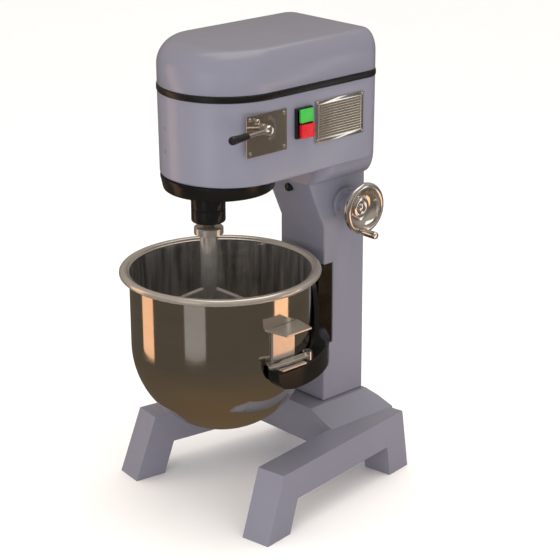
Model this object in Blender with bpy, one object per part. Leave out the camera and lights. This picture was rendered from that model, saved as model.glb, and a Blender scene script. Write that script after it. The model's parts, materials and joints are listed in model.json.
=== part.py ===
"""Commercial planetary stand mixer, about 40 litres, floor standing.

Metres, +Z up, front towards -Y, controls and handwheel on the +X side. The origin is on the floor,
under the middle of the machine's box. Every node is one solid, and each moving group hangs from an
empty that lies on its joint's axis.
"""

import math

import bmesh
import bpy
from mathutils import Matrix, Vector

# ---- driving dimensions -------------------------------------------------------------------------
GAP = 0.0003  # between pieces that touch

# bowl
BOWL_Y = -0.100  # the bowl, the main shaft and the nose of the head share this axis
BOWL_RADIUS = 0.200
BOWL_WALL = 0.002
BOWL_CENTRE_Z = 0.382  # centre of the round bottom, bowl lowered
RIM_RADIUS = 0.222
RIM_Z = 0.548
BEAD_RADIUS = 0.0095
BOWL_TRAVEL = 0.095

# base: two splayed legs and a hub
LEG_WIDTH = 0.072
LEG_LENGTH = 0.5253
LEG_SPLAY = math.radians(8.45)
LEG_CORNER = (0.2583, -0.1976)  # outer front corner of the +X leg on the floor
LEG_TOP = 0.1486
LEG_ARCH = 0.0764
HUB_TOP = 0.181

# column
COLUMN_HALF = 0.072
COLUMN_FRONT = 0.146
COLUMN_REAR = 0.273
NOTCH_BACK = 0.175
NOTCH_Z = (0.322, 0.515)
GUSSET_FRONT = 0.101
GUSSET_Z = (0.605, 0.709)
SCREW_Y = 0.210
WHEEL_Z = 0.651

# head
HEAD_HALF = 0.146
HEAD_DRAFT = 0.0015
NOSE_Y = -0.077
HEAD_REAR = 0.250
HEAD_CORNER = 0.040
HEAD_FLOOR = 0.7695
HEAD_SPLIT = 0.952
GASKET_HEIGHT = 0.014
HOOD_SIDE = 0.040  # straight part of the hood's side
HOOD_CROWN = 0.050  # height of its rounded part
HOOD_ROUND = (0.028, 0.060, 0.030)  # how far the crown draws in at the sides, front and rear
SHELL = 0.008
HOOD_SHELL = 0.004

# planetary drive
ECCENTRICITY = 0.060
REST_ANGLE = math.atan2(-0.0537, 0.0268)  # where the agitator stands round the bowl's axis
BEATER_ANGLE = math.radians(47.6)
RING_TEETH, PLANET_TEETH, PLANET_MODULE = 44, 14, 0.004
GEAR_MODULE = 0.005
GEAR_PAIRS = ((32, 14, 0.800), (27, 19, 0.830), (23, 23, 0.860))  # main, counter teeth, height
GEAR_WIDTH = 0.018
COUNTER_Y = 0.015
MOTOR_Y = 0.165
MAIN_SHAFT_RADIUS = 0.014
COUNTER_SHAFT_RADIUS = 0.012
SPINDLE_RADIUS = 0.012
BELT_Z = 0.988
PULLEY_HEIGHT = 0.022
PULLEY_RADII = {"countershaft_pulley": 0.075, "motor_pulley": 0.035}
BELT_DEPTH = 0.008

# controls
LEVER_Y, LEVER_Z = -0.097, 0.892
SWITCH_Y = (-0.014, 0.034)
SWITCH_Z = (0.855, 0.921)
SWITCH_FACE = 0.154
BUTTON_BACK = 0.1533
START_Z, STOP_Z = 0.9042, 0.8718
VENT_Y = (0.046, 0.188)
VENT_Z = (0.834, 0.926)
SELECTOR_Y = (-0.149, -0.037)
SELECTOR_Z = (0.838, 0.927)
GRIP_Y, GRIP_Z = 0.1935, 0.603

MATERIALS = {
    "paint": ((0.26, 0.26, 0.33, 1), 0.35, 0.0),
    "black_enamel": ((0.01, 0.01, 0.01, 1), 0.2, 0.0),
    "polished_steel": ((0.55, 0.52, 0.48, 1), 0.12, 1.0),
    "chrome": ((0.75, 0.74, 0.72, 1), 0.08, 1.0),
    "machined_steel": ((0.42, 0.41, 0.40, 1), 0.3, 1.0),
    "cast_aluminium": ((0.6, 0.59, 0.57, 1), 0.35, 1.0),
    "bronze": ((0.5, 0.3, 0.12, 1), 0.35, 1.0),
    "rubber": ((0.015, 0.015, 0.015, 1), 0.6, 0.0),
    "black_plastic": ((0.012, 0.012, 0.012, 1), 0.3, 0.0),
    "green_plastic": ((0.05, 0.5, 0.06, 1), 0.35, 0.0),
    "red_plastic": ((0.7, 0.01, 0.015, 1), 0.35, 0.0),
    "motor_enamel": ((0.05, 0.07, 0.1, 1), 0.45, 0.0),
}

SHADE_ANGLE = math.radians(32)
nodes = []


# ---- helpers ------------------------------------------------------------------------------------
def material(name):
    """The named Principled material, made the first time that it is asked for."""
    if name in bpy.data.materials:
        return bpy.data.materials[name]
    colour, roughness, metallic = MATERIALS[name]
    made = bpy.data.materials.new(name)
    made.use_nodes = True
    shader = made.node_tree.nodes["Principled BSDF"]
    shader.inputs["Base Color"].default_value = colour
    shader.inputs["Roughness"].default_value = roughness
    shader.inputs["Metallic"].default_value = metallic
    return made


def joint(name, x, y, z):
    """An empty on a joint's axis, which the moving pieces hang from."""
    empty = bpy.data.objects.new(name, None)
    empty.location = (x, y, z)
    bpy.context.scene.collection.objects.link(empty)
    return empty


def solid(name, points, faces, finish, body=None, bevel=0.0, segments=1):
    """A closed mesh object from world points, facing out, with its outer edges eased by bevel."""
    shape = bmesh.new()
    verts = [shape.verts.new(point) for point in points]
    for face in faces:
        shape.faces.new([verts[i] for i in face])
    bmesh.ops.recalc_face_normals(shape, faces=shape.faces)
    if shape.calc_volume(signed=True) < 0:
        bmesh.ops.reverse_faces(shape, faces=shape.faces)
    if bevel:
        sharp = [e for e in shape.edges if e.is_convex and e.calc_face_angle(0) > SHADE_ANGLE]
        bmesh.ops.bevel(
            shape, geom=sharp, offset=bevel, segments=segments, profile=0.5,
            affect="EDGES", clamp_overlap=True,
        )
    if body:
        bmesh.ops.translate(shape, verts=shape.verts, vec=-Vector(body.location))
    mesh = bpy.data.meshes.new(name)
    shape.to_mesh(mesh)
    shape.free()
    mesh.materials.append(material(finish))
    made = bpy.data.objects.new(name, mesh)
    made.parent = body
    bpy.context.scene.collection.objects.link(made)
    return made


def node(made):
    """Keeps an object as one of the part's nodes."""
    made.data.shade_smooth()
    made.data.set_sharp_from_angle(angle=SHADE_ANGLE)
    nodes.append(made)
    return made


def along(axis, a, b, h):
    """A point whose cross-section coordinates are a and b, at h along the axis."""
    return {"X": (h, a, b), "Y": (a, h, b), "Z": (a, b, h)}[axis]


def loft(name, rings, finish, body=None, closed=False, **edges):
    """A solid through rings of equally many points, capped unless the rings close on themselves."""
    size = len(rings[0])
    points = [point for ring in rings for point in ring]
    faces = []
    for k in range(len(rings) if closed else len(rings) - 1):
        low, high = k * size, (k + 1) % len(rings) * size
        for i in range(size):
            j = (i + 1) % size
            faces.append((low + i, low + j, high + j, high + i))
    if not closed:
        faces.append(tuple(range(size)))
        faces.append(tuple(range(len(points) - size, len(points))))
    return solid(name, points, faces, finish, body, **edges)


def prism(name, outline, low, high, finish, axis="Z", body=None, **edges):
    """An outline in the plane across the axis, extruded from low to high along it."""
    rings = [[along(axis, a, b, h) for a, b in outline] for h in (low, high)]
    return loft(name, rings, finish, body, **edges)


def box(name, low, high, finish, body=None, **edges):
    outline = [(low[0], low[1]), (high[0], low[1]), (high[0], high[1]), (low[0], high[1])]
    return prism(name, outline, low[2], high[2], finish, "Z", body, **edges)


def turned(name, profile, finish, centre=(0, 0), axis="Z", steps=24, body=None, **edges):
    """A profile of (radius, height) turned round an axis. It is a loop, or it ends on the axis twice."""
    def ring(radius, height):
        angles = (2 * math.pi * k / steps for k in range(steps))
        return [
            along(axis, centre[0] + radius * math.cos(t), centre[1] + radius * math.sin(t), height)
            for t in angles
        ]

    if profile[0][0] > 0:
        return loft(name, [ring(*p) for p in profile], finish, body, closed=True, **edges)
    rings = [ring(*p) for p in profile[1:-1]]
    points = [point for row in rings for point in row]
    faces = []
    for k in range(len(rings) - 1):
        for i in range(steps):
            j = (i + 1) % steps
            faces.append((k * steps + i, k * steps + j, (k + 1) * steps + j, (k + 1) * steps + i))
    last = (len(rings) - 1) * steps
    points += [along(axis, *centre, profile[0][1]), along(axis, *centre, profile[-1][1])]
    for i in range(steps):
        j = (i + 1) % steps
        faces += [(i, j, len(points) - 2), (last + i, last + j, len(points) - 1)]
    return solid(name, points, faces, finish, body, **edges)


def rod(name, radius, low, high, finish, centre=(0, 0), axis="Z", steps=24, body=None, **edges):
    return prism(name, circle(radius, steps, centre), low, high, finish, axis, body, **edges)


def tube(name, outer, inner, low, high, finish, centre=(0, 0), axis="Z", steps=24, body=None):
    profile = [(outer, low), (outer, high), (inner, high), (inner, low)]
    return turned(name, profile, finish, centre, axis, steps, body)


def circle(radius, steps, centre=(0, 0)):
    angles = (2 * math.pi * k / steps for k in range(steps))
    return [(centre[0] + radius * math.cos(t), centre[1] + radius * math.sin(t)) for t in angles]


def arc(centre, radius, start, end, steps):
    """Points round part of a circle, both ends included, angles in degrees."""
    turns = (math.radians(start + (end - start) * k / steps) for k in range(steps + 1))
    return [(centre[0] + radius * math.cos(t), centre[1] + radius * math.sin(t)) for t in turns]


def combine(target, tools, operation):
    """Applies a Boolean with each tool in turn, and removes the tools."""
    for tool in tools:
        step = target.modifiers.new(tool.name, "BOOLEAN")
        step.operation = operation
        step.object = tool
    graph = bpy.context.evaluated_depsgraph_get()
    mesh = bpy.data.meshes.new_from_object(target.evaluated_get(graph))
    target.modifiers.clear()
    target.data = mesh
    for tool in tools:
        bpy.data.objects.remove(tool)
    return target


def cut(target, *tools):
    return combine(target, tools, "DIFFERENCE")


def fuse(target, *tools):
    return combine(target, tools, "UNION")


def mirrored(outline):
    return [(-a, b) for a, b in reversed(outline)]


# ---- base and column ----------------------------------------------------------------------------
def leg(side):
    """One splayed leg: a beam with a raked front foot and a short rear foot."""
    profile = [
        (0, 0), (0.077, 0), (0.104, LEG_ARCH), (0.4418, LEG_ARCH), (0.4538, 0),
        (LEG_LENGTH, 0), (LEG_LENGTH - 0.025, LEG_TOP), (0.056, LEG_TOP),
    ]
    run = Vector((-math.sin(LEG_SPLAY), math.cos(LEG_SPLAY), 0))
    inward = Vector((-math.cos(LEG_SPLAY), -math.sin(LEG_SPLAY), 0)) * LEG_WIDTH
    corner = Vector((*LEG_CORNER, 0))
    rings = []
    for shift in (Vector(), inward):
        ring = [corner + shift + run * s + Vector((0, 0, z)) for s, z in profile]
        rings.append([(side * p.x, p.y, p.z) for p in ring])
    return loft("leg", rings, "paint", bevel=0.004)


def base_casting():
    top = HUB_TOP - GAP
    levels = [
        (LEG_ARCH, 0.150, 0.1215, 0.296), (LEG_TOP, 0.149, 0.100, 0.297),
        (0.166, 0.109, 0.098, 0.290), (top, 0.082, 0.096, 0.276),
    ]
    rings = [
        [(-half, front, z), (half, front, z), (half, rear, z), (-half, rear, z)]
        for z, half, front, rear in levels
    ]
    hub = loft("base_casting", rings, "paint")
    node(fuse(hub, leg(1), leg(-1)))


def column():
    outline = [
        (COLUMN_FRONT, HUB_TOP), (COLUMN_REAR, HUB_TOP), (COLUMN_REAR, HEAD_FLOOR - GAP),
        (GUSSET_FRONT, HEAD_FLOOR - GAP), (GUSSET_FRONT, GUSSET_Z[1]), (COLUMN_FRONT, GUSSET_Z[0]),
        (COLUMN_FRONT, NOTCH_Z[1]), (NOTCH_BACK, NOTCH_Z[1]), (NOTCH_BACK, NOTCH_Z[0]),
        (COLUMN_FRONT, NOTCH_Z[0]),
    ]
    casting = prism(
        "column_casting", outline, -COLUMN_HALF, COLUMN_HALF, "paint", "X", bevel=0.004
    )
    fuse(casting, neck())
    past = COLUMN_REAR + 0.01
    cut(
        casting,
        box("lower_hollow", (-0.060, 0.187, 0.200), (0.060, past, 0.540), "paint"),
        box("upper_hollow", (-0.060, 0.160, 0.535), (0.060, past, 0.755), "paint"),
        box("nut_slot", (-0.016, 0.170, 0.345), (0.016, 0.190, 0.490), "paint"),
        rod("shaft_hole", 0.0105, 0.055, 0.080, "paint", (SCREW_Y, WHEEL_Z), "X"),
        rod("plug_hole", 0.0103, 0.095, 0.113, "paint", (0, 0.693), "Y"),
    )
    node(casting)

    cover = box(
        "column_rear_cover", (-0.0595, 0.2665, 0.2005), (0.0595, COLUMN_REAR, 0.7545), "paint"
    )
    cut(cover, rod("gland_hole", 0.0085, 0.260, 0.280, "paint", (0, 0.245), "Y", 16))
    node(cover)
    plug = [(0, 0.0985), (0.007, 0.0988), (0.0095, 0.1005), (0.0098, 0.112), (0, 0.112)]
    node(turned("column_plug", plug, "black_plastic", (0, 0.693), "Y", 16))
    gland = [
        (0.005, 0.258), (0.008, 0.258), (0.008, COLUMN_REAR + GAP), (0.014, COLUMN_REAR + GAP),
        (0.014, 0.279), (0.0115, 0.281), (0.0095, 0.292), (0.005, 0.292),
    ]
    node(turned("cable_gland", gland, "black_plastic", (0, 0.245), "Y", 12))


def neck():
    """The column widens into this rounded collar, which the head stands on."""
    levels = (
        (0.7145, 0.0705, 0.004), (0.7175, 0.083, 0.014), (0.7220, 0.094, 0.022), (0.7300, 0.105, 0.029),
        (0.7420, 0.1140, 0.035), (HEAD_FLOOR - GAP, 0.1210, 0.040),
    )
    front = GUSSET_FRONT - 0.004
    rings = []
    for z, half, corner in levels:
        ring = arc((half - corner, COLUMN_REAR - corner), corner, 0, 90, 6)
        ring += arc((corner - half, COLUMN_REAR - corner), corner, 90, 180, 6)
        ring += arc((corner - half, front + corner), corner, 180, 270, 6)
        ring += arc((half - corner, front + corner), corner, 270, 360, 6)
        rings.append([(*point, z) for point in ring])
    return loft("neck", rings, "paint")


def slide_rails():
    for side, name in ((-1, "slide_rail_left"), (1, "slide_rail_right")):
        x = sorted((side * 0.030, side * 0.0697))
        low = (x[0], 0.131, NOTCH_Z[0] + GAP)
        high = (x[1], NOTCH_BACK - GAP, NOTCH_Z[1] - GAP)
        node(box(name, low, high, "machined_steel", bevel=0.0012))


# ---- head ---------------------------------------------------------------------------------------
def head_outline(side, front, rear, z):
    """The head's plan at one height, drawn in by side, front and rear: a round nose and a square tail."""
    half, reach = HEAD_HALF - side, HEAD_HALF - front
    back, corner = HEAD_REAR - rear, HEAD_CORNER - min(side, rear, 0.02)
    nose_steps, corner_steps = 24, 4
    plan = []
    for k in range(nose_steps + 1):
        turn = math.pi + math.pi * k / nose_steps
        plan.append((half * math.cos(turn), NOSE_Y + reach * math.sin(turn)))
    plan += arc((half - corner, back - corner), corner, 0, 90, corner_steps)
    plan += arc((-half + corner, back - corner), corner, 90, 180, corner_steps)
    return [(x, y, z) for x, y in plan]


def even_outline(inset, z):
    return head_outline(inset, inset, inset, z)


def head_housing():
    low = HEAD_DRAFT
    rings = [
        even_outline(SHELL + low, HEAD_FLOOR + 0.010),
        even_outline(SHELL, HEAD_SPLIT),
        even_outline(0, HEAD_SPLIT),
        even_outline(low, HEAD_FLOOR + 0.005),
        even_outline(low + 0.003, HEAD_FLOOR),
    ]
    housing = loft("head_housing", rings, "paint")
    wall = (HEAD_HALF - 0.03, HEAD_HALF + 0.03)
    cut(
        housing,
        rod("bearing_seat", 0.026, 0.760, 0.790, "paint", (0, BOWL_Y), steps=32),
        rod("counter_seat", 0.0205, 0.772, 0.790, "paint", (0, COUNTER_Y)),
        rod("lever_hole", 0.0068, *wall, "paint", (LEVER_Y, LEVER_Z), "X", 20),
        box("right_vent", (wall[0], VENT_Y[0] + 0.008, VENT_Z[0] + 0.008),
            (wall[1], VENT_Y[1] - 0.008, VENT_Z[1] - 0.008), "paint"),
        box("left_vent", (-wall[1], VENT_Y[0] + 0.008, VENT_Z[0] + 0.008),
            (-wall[0], VENT_Y[1] - 0.008, VENT_Z[1] - 0.008), "paint"),
        box("switch_opening", (wall[0], SWITCH_Y[0] + 0.008, SWITCH_Z[0] + 0.010),
            (wall[1], SWITCH_Y[1] - 0.008, SWITCH_Z[1] - 0.010), "paint"),
    )
    node(housing)


def head_gasket():
    low, high = HEAD_SPLIT + GAP, HEAD_SPLIT + GASKET_HEIGHT
    rings = [
        even_outline(-0.0010, low), even_outline(-0.0018, (low + high) / 2),
        even_outline(-0.0010, high), even_outline(0.009, high), even_outline(0.009, low),
    ]
    node(loft("head_gasket", rings, "rubber", closed=True))


def head_hood():
    base = HEAD_SPLIT + GASKET_HEIGHT + GAP
    shoulder = base + HOOD_SIDE
    angles = [math.radians(a) for a in (22, 45, 67, 90)]

    def crown(inset, turn, drop):
        side, front, rear = (inset + d * (1 - math.cos(turn)) for d in HOOD_ROUND)
        return head_outline(side, front, rear, shoulder + (HOOD_CROWN - drop) * math.sin(turn))

    inside = [crown(HOOD_SHELL, turn, HOOD_SHELL) for turn in reversed(angles[1:])]
    outside = [crown(0, turn, 0) for turn in angles]
    rings = inside + [even_outline(HOOD_SHELL, shoulder), even_outline(HOOD_SHELL, base)]
    rings += [even_outline(0, base), even_outline(0, shoulder)] + outside
    node(loft("head_hood", rings, "paint"))


def panels():
    """What is screwed to the sides of the head."""
    face = HEAD_HALF + GAP
    plate = box(
        "gear_selector_plate", (face, SELECTOR_Y[0], SELECTOR_Z[0]),
        (face + 0.002, SELECTOR_Y[1], SELECTOR_Z[1]), "chrome",
    )
    cut(plate, rod("lever_hole", 0.0068, 0.14, 0.16, "chrome", (LEVER_Y, LEVER_Z), "X", 20))
    node(plate)

    switch = box(
        "switch_housing", (face, SWITCH_Y[0], SWITCH_Z[0]),
        (SWITCH_FACE, SWITCH_Y[1], SWITCH_Z[1]), "black_plastic", bevel=0.0012,
    )
    wells = [
        box("well", (0.149, SWITCH_Y[0] + 0.0065, z - 0.0152), (0.170, SWITCH_Y[1] - 0.0045, z + 0.0152),
            "rubber")
        for z in (STOP_Z, START_Z)
    ]
    node(cut(switch, *wells))

    slots, pitch = 9, 0.008
    for side, name in ((1, "vent_panel_right"), (-1, "vent_panel_left")):
        x = sorted((side * face, side * (face + 0.003)))
        panel = box(name, (x[0], VENT_Y[0], VENT_Z[0]), (x[1], VENT_Y[1], VENT_Z[1]), "chrome")
        middle = (VENT_Z[0] + VENT_Z[1]) / 2
        tools = []
        for k in range(slots):
            z = middle + (k - (slots - 1) / 2) * pitch
            low = (x[0] - 0.01, VENT_Y[0] + 0.012, z - 0.0015)
            tools.append(box("slot", low, (x[1] + 0.01, VENT_Y[1] - 0.012, z + 0.0015), "chrome"))
        node(cut(panel, *tools))


def gearbox_plate():
    """Carries the upper bearings, between the nose and the motor."""
    half, rear = HEAD_HALF - SHELL - 0.0020, 0.080
    outline = arc((0, NOSE_Y), half, 180, 360, 20) + [(half, rear), (-half, rear)]
    plate = prism("gearbox_plate", outline, 0.909, 0.916, "machined_steel")
    cut(
        plate,
        rod("main_seat", 0.026, 0.90, 0.92, "machined_steel", (0, BOWL_Y), steps=32),
        rod("counter_seat", 0.0205, 0.90, 0.92, "machined_steel", (0, COUNTER_Y)),
        rod("fork_hole", 0.0066, 0.90, 0.92, "machined_steel", (0.060, -0.085), steps=20),
    )
    node(plate)


def bearings():
    outer, inner = 0.0255, MAIN_SHAFT_RADIUS + 0.0004
    seats = (
        ("main_bearing_lower", outer, inner, 0.770, 0.779, BOWL_Y),
        ("main_bearing_upper", outer, inner, 0.9085, 0.9165, BOWL_Y),
        ("counter_bearing_lower", 0.020, COUNTER_SHAFT_RADIUS + 0.0004, 0.7725, 0.780, COUNTER_Y),
        ("counter_bearing_upper", 0.020, COUNTER_SHAFT_RADIUS + 0.0004, 0.9085, 0.9165, COUNTER_Y),
    )
    for name, big, small, low, high, y in seats:
        node(tube(name, big, small, low, high, "machined_steel", (0, y), steps=20))


def drive_motor(body):
    profile = [
        (0, 0.7800), (0.070, 0.7800), (0.075, 0.7840), (0.075, 0.9300), (0.0745, 0.9300), (0, 0.9300),
    ]
    node(turned("motor_body", profile, "motor_enamel", (0, MOTOR_Y), steps=24))
    cap = [
        (0.0125, 0.9303), (0.0745, 0.9303), (0.072, 0.940), (0.040, 0.950), (0.022, 0.954),
        (0.0125, 0.954),
    ]
    node(turned("motor_end_cap", cap, "motor_enamel", (0, MOTOR_Y), steps=24))
    node(rod("motor_shaft", 0.011, 0.9310, 1.0120, "machined_steel", (0, MOTOR_Y), body=body))


# ---- gears --------------------------------------------------------------------------------------
def gear_outline(teeth, module, centre, tooth_at, grow=0.0, addendum=0.9, dedendum=1.15):
    """Straight-flanked teeth inside the true involute, with one tooth centred on the angle tooth_at."""
    pitch = teeth * module / 2
    base = pitch * math.cos(math.radians(20))

    def half_angle(radius):
        def involute(r):
            pressure = math.acos(min(1.0, base / r))
            return math.tan(pressure) - pressure

        return math.pi / (2 * teeth) + involute(pitch) - involute(max(radius, base))

    slack = 0.035 * module / pitch - grow / pitch
    root, tip = pitch - dedendum * module, pitch + addendum * module
    points = []
    for k in range(teeth):
        middle = tooth_at + 2 * math.pi * k / teeth
        wide, narrow = half_angle(root) - slack, half_angle(tip) - slack
        for radius, turn in ((root, -wide), (tip, -narrow), (tip, narrow), (root, wide)):
            at = middle + turn
            points.append((centre[0] + radius * math.cos(at), centre[1] + radius * math.sin(at)))
    return points


def spur_gear(name, teeth, y, height, tooth_at, bore, body=None):
    outline = gear_outline(teeth, GEAR_MODULE, (0, y), tooth_at)
    wheel = prism(name, outline, height, height + GEAR_WIDTH, "machined_steel", body=body)
    if bore:
        cut(wheel, rod("bore", bore, height - 0.01, height + 0.03, "machined_steel", (0, y)))
    return wheel


def main_gears(bodies):
    """The three wheels on the main shaft: the first drives it, the others run free until engaged."""
    names = ("main_gear_low", "main_gear_middle", "main_gear_high")
    for name, body, (teeth, _, height) in zip(names, bodies, GEAR_PAIRS):
        bore = MAIN_SHAFT_RADIUS + 0.0005
        node(spur_gear(name, teeth, BOWL_Y, height, math.pi / 2, bore, body))


def countershaft(body):
    shaft = rod(
        "countershaft", COUNTER_SHAFT_RADIUS, 0.7730, 1.0120, "machined_steel",
        (0, COUNTER_Y), body=body,
    )
    wheels = [
        spur_gear("wheel", teeth, COUNTER_Y, height, -math.pi / 2 + math.pi / teeth, 0)
        for _, teeth, height in GEAR_PAIRS
    ]
    node(fuse(shaft, *wheels))


def pulley(name, y, bore, body):
    """A grooved wheel that the belt lies in."""
    radius = PULLEY_RADII[name]
    low, high = BELT_Z - PULLEY_HEIGHT / 2, BELT_Z + PULLEY_HEIGHT / 2
    root = radius - BELT_DEPTH - 0.001
    profile = [
        (bore, low), (radius, low), (radius, low + 0.003), (root, BELT_Z - 0.004),
        (root, BELT_Z + 0.004), (radius, high - 0.003), (radius, high), (bore, high),
    ]
    node(turned(name, profile, "machined_steel", (0, y), body=body))


def v_belt():
    """A closed belt round both pulleys, straight between them."""
    big, small = PULLEY_RADII["countershaft_pulley"], PULLEY_RADII["motor_pulley"]
    lean = math.degrees(math.asin((big - small) / (MOTOR_Y - COUNTER_Y)))

    def loop(depth, z):
        path = arc((0, COUNTER_Y), big - depth, 180 - lean, 360 + lean, 24)
        path += arc((0, MOTOR_Y), small - depth, lean, 180 - lean, 12)
        return [(x, y, z) for x, y in path]

    inner, outer = BELT_DEPTH - 0.0002, 0.0006
    rings = [
        loop(outer, BELT_Z - 0.0062), loop(outer, BELT_Z + 0.0062),
        loop(inner, BELT_Z + 0.0032), loop(inner, BELT_Z - 0.0032),
    ]
    node(loft("v_belt", rings, "rubber", closed=True))


def bevel_gear(name, teeth, pitch, apex, axis, sign, tooth_at, body):
    """A mitre gear: straight teeth that shrink towards the shaft axes' meeting point."""
    module = 2 * pitch / teeth
    slope = math.sqrt(0.5)
    outline = gear_outline(teeth, module, (0, 0), tooth_at, 0, 0.8, 1.15)

    def ring(scale):
        points = []
        for a, b in outline:
            rise = math.hypot(a, b) - pitch
            swell = (pitch + rise * slope) / (pitch + rise) * scale
            height = (pitch - rise * slope) * scale
            points.append(mapped(a * swell, b * swell, height))
        return points

    def mapped(a, b, height):
        x, y, z = along(axis, a, b, sign * height)
        return (apex[0] + x, apex[1] + y, apex[2] + z)

    size = len(outline)
    points = ring(1.0) + ring(0.68)
    back, front = mapped(0, 0, pitch + 0.004), mapped(0, 0, pitch * 0.68 + 0.001)
    points += [back, front]
    faces = []
    for i in range(size):
        j = (i + 1) % size
        faces += [(i, j, size + j, size + i), (i, j, 2 * size), (size + i, size + j, 2 * size + 1)]
    return node(solid(name, points, faces, "machined_steel", body))


# ---- planetary head -----------------------------------------------------------------------------
def agitator_centre(radius=ECCENTRICITY):
    return (radius * math.cos(REST_ANGLE), BOWL_Y + radius * math.sin(REST_ANGLE))


def planetary_flange():
    profile = [
        (0.1090, 0.7370), (0.1165, 0.7370), (0.1205, 0.7385), (0.1225, 0.7420), (0.1258, 0.7650),
        (0.1258, HEAD_FLOOR - GAP), (0.1090, HEAD_FLOOR - GAP),
    ]
    node(turned("planetary_flange", profile, "black_enamel", (0, BOWL_Y), steps=36))
    ring = rod("ring_gear", 0.1082, 0.7485, 0.7665, "machined_steel", (0, BOWL_Y), steps=48)
    hollow = gear_outline(
        RING_TEETH, PLANET_MODULE, (0, BOWL_Y), REST_ANGLE, 0.00045, 1.15, 0.85
    )
    node(cut(ring, prism("teeth", hollow, 0.74, 0.78, "machined_steel")))


def planet_carrier(body):
    profile = [
        (MAIN_SHAFT_RADIUS + GAP, 0.7378), (0.1050, 0.7378), (0.1075, 0.7395), (0.1075, 0.7472),
        (0.022, 0.7472), (0.022, 0.7665), (MAIN_SHAFT_RADIUS + GAP, 0.7665),
    ]
    carrier = turned("planet_carrier", profile, "black_enamel", (0, BOWL_Y), steps=32, body=body)
    bore = rod("bore", SPINDLE_RADIUS + 0.0008, 0.73, 0.77, "black_enamel", agitator_centre())
    node(cut(carrier, bore))
    node(rod(
        "main_shaft", MAIN_SHAFT_RADIUS - 0.0002, 0.7385, 0.9300, "machined_steel",
        (0, BOWL_Y), body=body,
    ))


def agitator(body):
    centre = agitator_centre()
    node(rod("agitator_spindle", SPINDLE_RADIUS, 0.6410, 0.7660, "machined_steel", centre, body=body))
    outline = gear_outline(PLANET_TEETH, PLANET_MODULE, centre, REST_ANGLE)
    planet = prism("planet_gear", outline, 0.7500, 0.7650, "machined_steel", body=body)
    bore = rod("bore", SPINDLE_RADIUS + 0.0004, 0.74, 0.78, "machined_steel", centre)
    node(cut(planet, bore))
    inner = SPINDLE_RADIUS + 0.0005
    hub = [
        (inner, 0.6770), (0.034, 0.6770), (0.0370, 0.6800), (0.0370, 0.7060), (0.0355, 0.7070),
        (0.0370, 0.7080), (0.0370, 0.7365), (inner, 0.7365),
    ]
    node(turned("agitator_hub", hub, "black_enamel", centre, body=body))


def beater_edge(rho, radius, lift=0.007):
    """Height of the beater's rounded edge, which follows the raised bowl, at rho from its own axis."""
    reach = min(ECCENTRICITY + rho, radius)
    return BOWL_CENTRE_Z + BOWL_TRAVEL - 0.002 + lift - math.sqrt(radius**2 - reach**2)


def beater_reach(z, radius, most):
    """How far out the same edge lies at one height."""
    drop = BOWL_CENTRE_Z + BOWL_TRAVEL + 0.005 - z
    return min(most, math.sqrt(max(radius**2 - drop**2, 0)) - ECCENTRICITY)


def flat_beater(body):
    """A flat aluminium beater: a collar, a stem and a framed blade with two cross bars each side."""
    half, thick, shoulder = 0.128, 0.0092, 0.525
    fall = math.tan(math.radians(23))
    edge = BOWL_RADIUS - BOWL_WALL - 0.002
    centre = agitator_centre()
    turn = Matrix.Rotation(BEATER_ANGLE, 4, "Z")
    origin = Vector((*centre, 0))

    def placed(name, outline, depth, **edges):
        rings = []
        for y in (-depth, depth):
            ring = [origin + turn @ Vector((x, y, z)) for x, z in outline]
            rings.append([tuple(p) for p in ring])
        return loft(name, rings, "cast_aluminium", **edges)

    right = [(0.012, shoulder), (half - 0.010, shoulder - (half - 0.022) * fall)]
    right += [(half, shoulder - (half - 0.022) * fall - 0.010)]
    steps = 8
    for k in range(steps):
        rho = half - half * k / steps
        right.append((rho, beater_edge(rho, edge)))
    blade_outline = right + [(0, beater_edge(0, edge))] + mirrored(right)
    blade = placed("blade", blade_outline, thick)

    inner_edge, most = edge - 0.018, half - 0.018
    windows = []
    for side in (-1, 1):
        for low, high in ((0.322, 0.368), (0.382, 0.424)):
            rows = [low + (high - low) * k / 4 for k in range(5)]
            shape = [(0.010, high), (0.010, low)]
            shape += [(max(beater_reach(z, inner_edge, most), 0.012), z) for z in rows]
            windows.append(([(side * x, z) for x, z in shape]))
        top = [
            (0.010, 0.438), (most, 0.438), (most, shoulder - 0.020 - (most - 0.012) * fall),
            (0.010, shoulder - 0.020),
        ]
        windows.append([(side * x, z) for x, z in top])
    cut(blade, *(placed("window", shape, 0.02) for shape in windows))
    bore = SPINDLE_RADIUS + 0.0005
    stem = [
        (0, 0.640), (bore, 0.640), (bore, 0.665), (0.0305, 0.665), (0.032, 0.6635), (0.032, 0.650),
        (0.0305, 0.649), (0.0205, 0.647), (0.0195, 0.640), (0.0185, 0.540), (0.0120, 0.500),
        (0, 0.500),
    ]
    beater = turned("flat_beater", stem, "cast_aluminium", centre, body=body)
    node(fuse(beater, blade))


# ---- bowl, yoke and lift ------------------------------------------------------------------------
def bowl_shell(body):
    inner = BOWL_RADIUS - BOWL_WALL
    bottom_steps = 7

    def round_bottom(radius, order):
        for k in order:
            turn = math.pi / 2 * k / bottom_steps
            yield (radius * math.sin(turn), BOWL_CENTRE_Z - radius * math.cos(turn))

    bead_centre = (RIM_RADIUS - BEAD_RADIUS, RIM_Z)
    bead = [
        (r, RIM_Z + (z - RIM_Z) * 0.85) for r, z in arc(bead_centre, BEAD_RADIUS, 215, 530, 7)
    ]
    profile = list(round_bottom(BOWL_RADIUS, range(bottom_steps + 1)))
    profile += [(BOWL_RADIUS, RIM_Z - 0.018)] + bead + [(inner, RIM_Z - 0.016)]
    profile += list(round_bottom(inner, range(bottom_steps, -1, -1)))
    profile[0], profile[-1] = (0, profile[0][1]), (0, profile[-1][1])
    node(turned("bowl_shell", profile, "polished_steel", (0, BOWL_Y), steps=36, body=body))


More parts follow.
